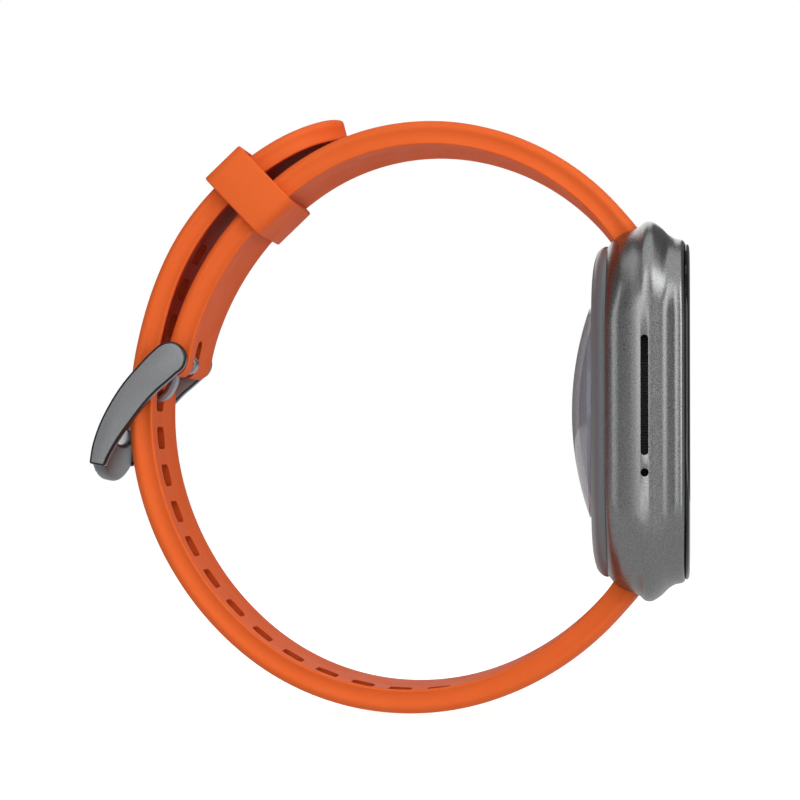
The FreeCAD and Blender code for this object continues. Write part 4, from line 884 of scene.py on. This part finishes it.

# %% [markdown]
# ## The buckle
# Two curved arms and a cross bar, cut from plate. A swept bar would be rounder than the real one, so the
# arms' outline is drawn once and given a thickness on each side, and the bar, bowed away from the pivot,
# is joined on. The polished bevel round every face has its own finish, painted near black as a dark
# reflection, and the arm edges and the bar are painted a dark blue-grey as shade.

# %% The outline of an arm
PIVOT = (24.91525, 6.32565)
OUTER = [(0.5, 2.5), (1.9, 2.0), (4.4, -0.4), (6.9, -3.4), (9.0, -7.0), (10.2, -10.2), (10.65, -12.8)]
INNER = [(8.75, -13.2), (8.2, -11.9), (7.3, -10.3), (6.3, -8.8), (5.1, -7.2), (3.7, -5.4), (2.2, -3.8),
         (0.8, -2.6), (-0.46, -1.49)]
END_RADIUS = 2.13
arm_end = [(0.55 + END_RADIUS * math.cos(math.radians(a)), 0.37 + END_RADIUS * math.sin(math.radians(a)))
           for a in range(228, 92, -9)]
arm = smoothed(OUTER, 30) + smoothed(INNER, 30) + arm_end
arm = [(PIVOT[0] + y, PIVOT[1] + z) for y, z in arm]
print("an arm's outline has", len(arm), "points")

# %% The cross bar
BOW = 2.0
BAR_HALF = 10.9


def bar_section(x):
    """The cross bar's section, which moves away from the pivot towards mid-width."""
    bow = BOW * (1 - min(abs(x) / 10.8, 1.0) ** 2.2)
    ring = round_rectangle(0.85, 2.4, 0.5, 0.0, 5)
    lean = math.radians(10 + bow)
    return [(x, PIVOT[0] + 9.35 + 0.1 * bow + o * math.cos(lean) - a * math.sin(lean),
             PIVOT[1] - 10.6 - bow + o * math.sin(lean) + a * math.cos(lean)) for o, _, a in ring]


bar_skin = skin([bar_section(-BAR_HALF + 2 * BAR_HALF * i / 48) for i in range(49)])
print("the cross bar has", len(bar_skin[1]), "faces")

# %% The buckle frame
ARM_INSIDE, ARM_OUTSIDE = 10.2, 12.3


def plate_arm(name, start, end):
    """One arm, with its polished bevel in the near-black finish of a painted dark reflection."""
    plate = face_outward(new_piece(name, *along_x(arm, start, end), BUCKLE_METAL, BEVEL_PAINTED_DARK_REFLECTION))
    return soften(plate, 0.3, 3, 48, finish=1)


buckle = plate_arm("BuckleFrame", ARM_INSIDE, ARM_OUTSIDE)
cross_bar = face_outward(new_piece("CrossBar", *bar_skin, BUCKLE_METAL, BEVEL_PAINTED_DARK_REFLECTION))
cut_away(buckle, plate_arm("OtherArm", -ARM_OUTSIDE, -ARM_INSIDE), "UNION")
cut_away(buckle, cross_bar, "UNION")
# Faces that don't face across, the arm edges and the cross bar, take the dark finish of painted shade.
buckle.data.materials.append(BUCKLE_SIDE_PAINTED_SHADE)
for face in buckle.data.polygons:
    if face.material_index == 0 and abs(face.normal.x) < 0.9:
        face.material_index = 2
smooth(buckle, 30)
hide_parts("buckle_frame")
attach(buckle, "buckle")
print("buckle", len(buckle.data.polygons), "faces")

# %% [markdown]
# ## The tang
# A steel strip bent round the pivot bar, led through a hole of the strap and laid on the cross bar. Its
# width and thickness change along the way, so each point of its line carries both, and sections are set
# square to the line.

# %% Sections along the tang
def tang_rings(line, steps):
    """Sections along a line of (y, z, half the width, half the thickness)."""
    points = smoothed(line, steps)
    rings = []
    for i, (y, z, half, thick) in enumerate(points):
        y0, z0 = points[max(i - 1, 0)][:2]
        y1, z1 = points[min(i + 1, steps)][:2]
        ahead = Vector((0, y1 - y0, z1 - z0)).normalized()
        out = Vector((0, -ahead.z, ahead.y))
        section = round_rectangle(half, thick, thick * 0.62, 0.0, 4)
        rings.append([Vector((x, PIVOT[0] + y, PIVOT[1] + z)) + out * o for x, _, o in section])
    return rings


print("a short tang has", len(tang_rings([(0, 0, 1, 1), (1, 0, 1, 1)], 4)), "sections")

# %% The tang
EYE = 1.05
wrap = [(EYE * math.cos(math.radians(a)), EYE * math.sin(math.radians(a)), 1.7, 0.29)
        for a in range(318, 19, -15)]
strip = [(1.4, -1.0, 1.7, 0.36), (1.9, -2.7, 1.7, 0.44), (2.9, -4.1, 1.66, 0.48), (4.6, -4.65, 1.62, 0.5),
         (6.2, -5.2, 1.6, 0.52), (8.1, -6.9, 1.52, 0.54), (10.1, -9.6, 1.42, 0.5), (11.1, -11.8, 1.34, 0.42),
         (11.5, -13.2, 1.2, 0.36), (11.6, -13.8, 0.95, 0.22)]
# The tang takes the darker steel of painted shade.
tang = smooth(face_outward(new_piece("BuckleTang", *skin(tang_rings(wrap + strip, 120)), TANG_PAINTED_SHADE_STEEL)), 50)
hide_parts("buckle_tang")
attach(tang, "tang")
print("tang", len(tang.data.polygons), "faces")

# %% [markdown]
# ## Finishes for the carried-over CAD nodes
# Everything else keeps its CAD shape: the lens, the strap bars with their levers, and all that is inside.
# Each takes the finish of what it is made of, put in place of the plain one that it came with.

# %% Dressing the CAD nodes
DRESS = {
    "display_panel": DISPLAY, "display_gasket": SEAL_RUBBER,
    "rear_gasket": SEAL_RUBBER, "sensor_window": LENS,
    "sensor_baffle": BLACK_POLYMER, "sensor_board": BOARD, "sensor_leds": GREEN_LED, "photodiodes": DIODE,
    "charging_contacts": GOLD, "charging_magnets": STEEL, "inner_frame": FRAME_POLYMER,
    "battery": FOIL, "main_board": BOARD, "shield_can": BRIGHT, "gps_antenna": CERAMIC,
    "vibration_motor": STEEL, "speaker_module": BLACK_POLYMER, "speaker_mesh": MESH,
    "microphone": BRIGHT, "mic_mesh": MESH, "display_flex": FILM, "battery_flex": FILM,
    "sensor_flex": FILM, "board_screws": STEEL, "crown_stem": STEEL, "crown_seals": SEAL_RUBBER,
    "crown_tube": STEEL, "crown_clip": STEEL, "crown_switch": BLACK_POLYMER, "switch_plunger": BLACK_POLYMER,
    "upper_bar_tube": STEEL, "upper_bar_tip": STEEL, "upper_bar_spring": STEEL, "upper_release_pin": STEEL,
    "lower_bar_tube": STEEL, "lower_bar_tip": STEEL, "lower_bar_spring": STEEL, "lower_release_pin": STEEL,
    "buckle_bar_tube": STEEL, "buckle_bar_tips": STEEL, "buckle_bar_spring": STEEL,
}
for node, finish in DRESS.items():
    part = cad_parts[node]
    part.data.materials.clear()
    part.data.materials.append(finish)
carried = [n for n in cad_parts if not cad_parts[n].hide_render]
print(len(carried), "CAD nodes shown, undressed:", sorted(set(carried) - set(DRESS)))

# %% The end
model_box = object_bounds()
floor.location.z = model_box[0].z - UNDER
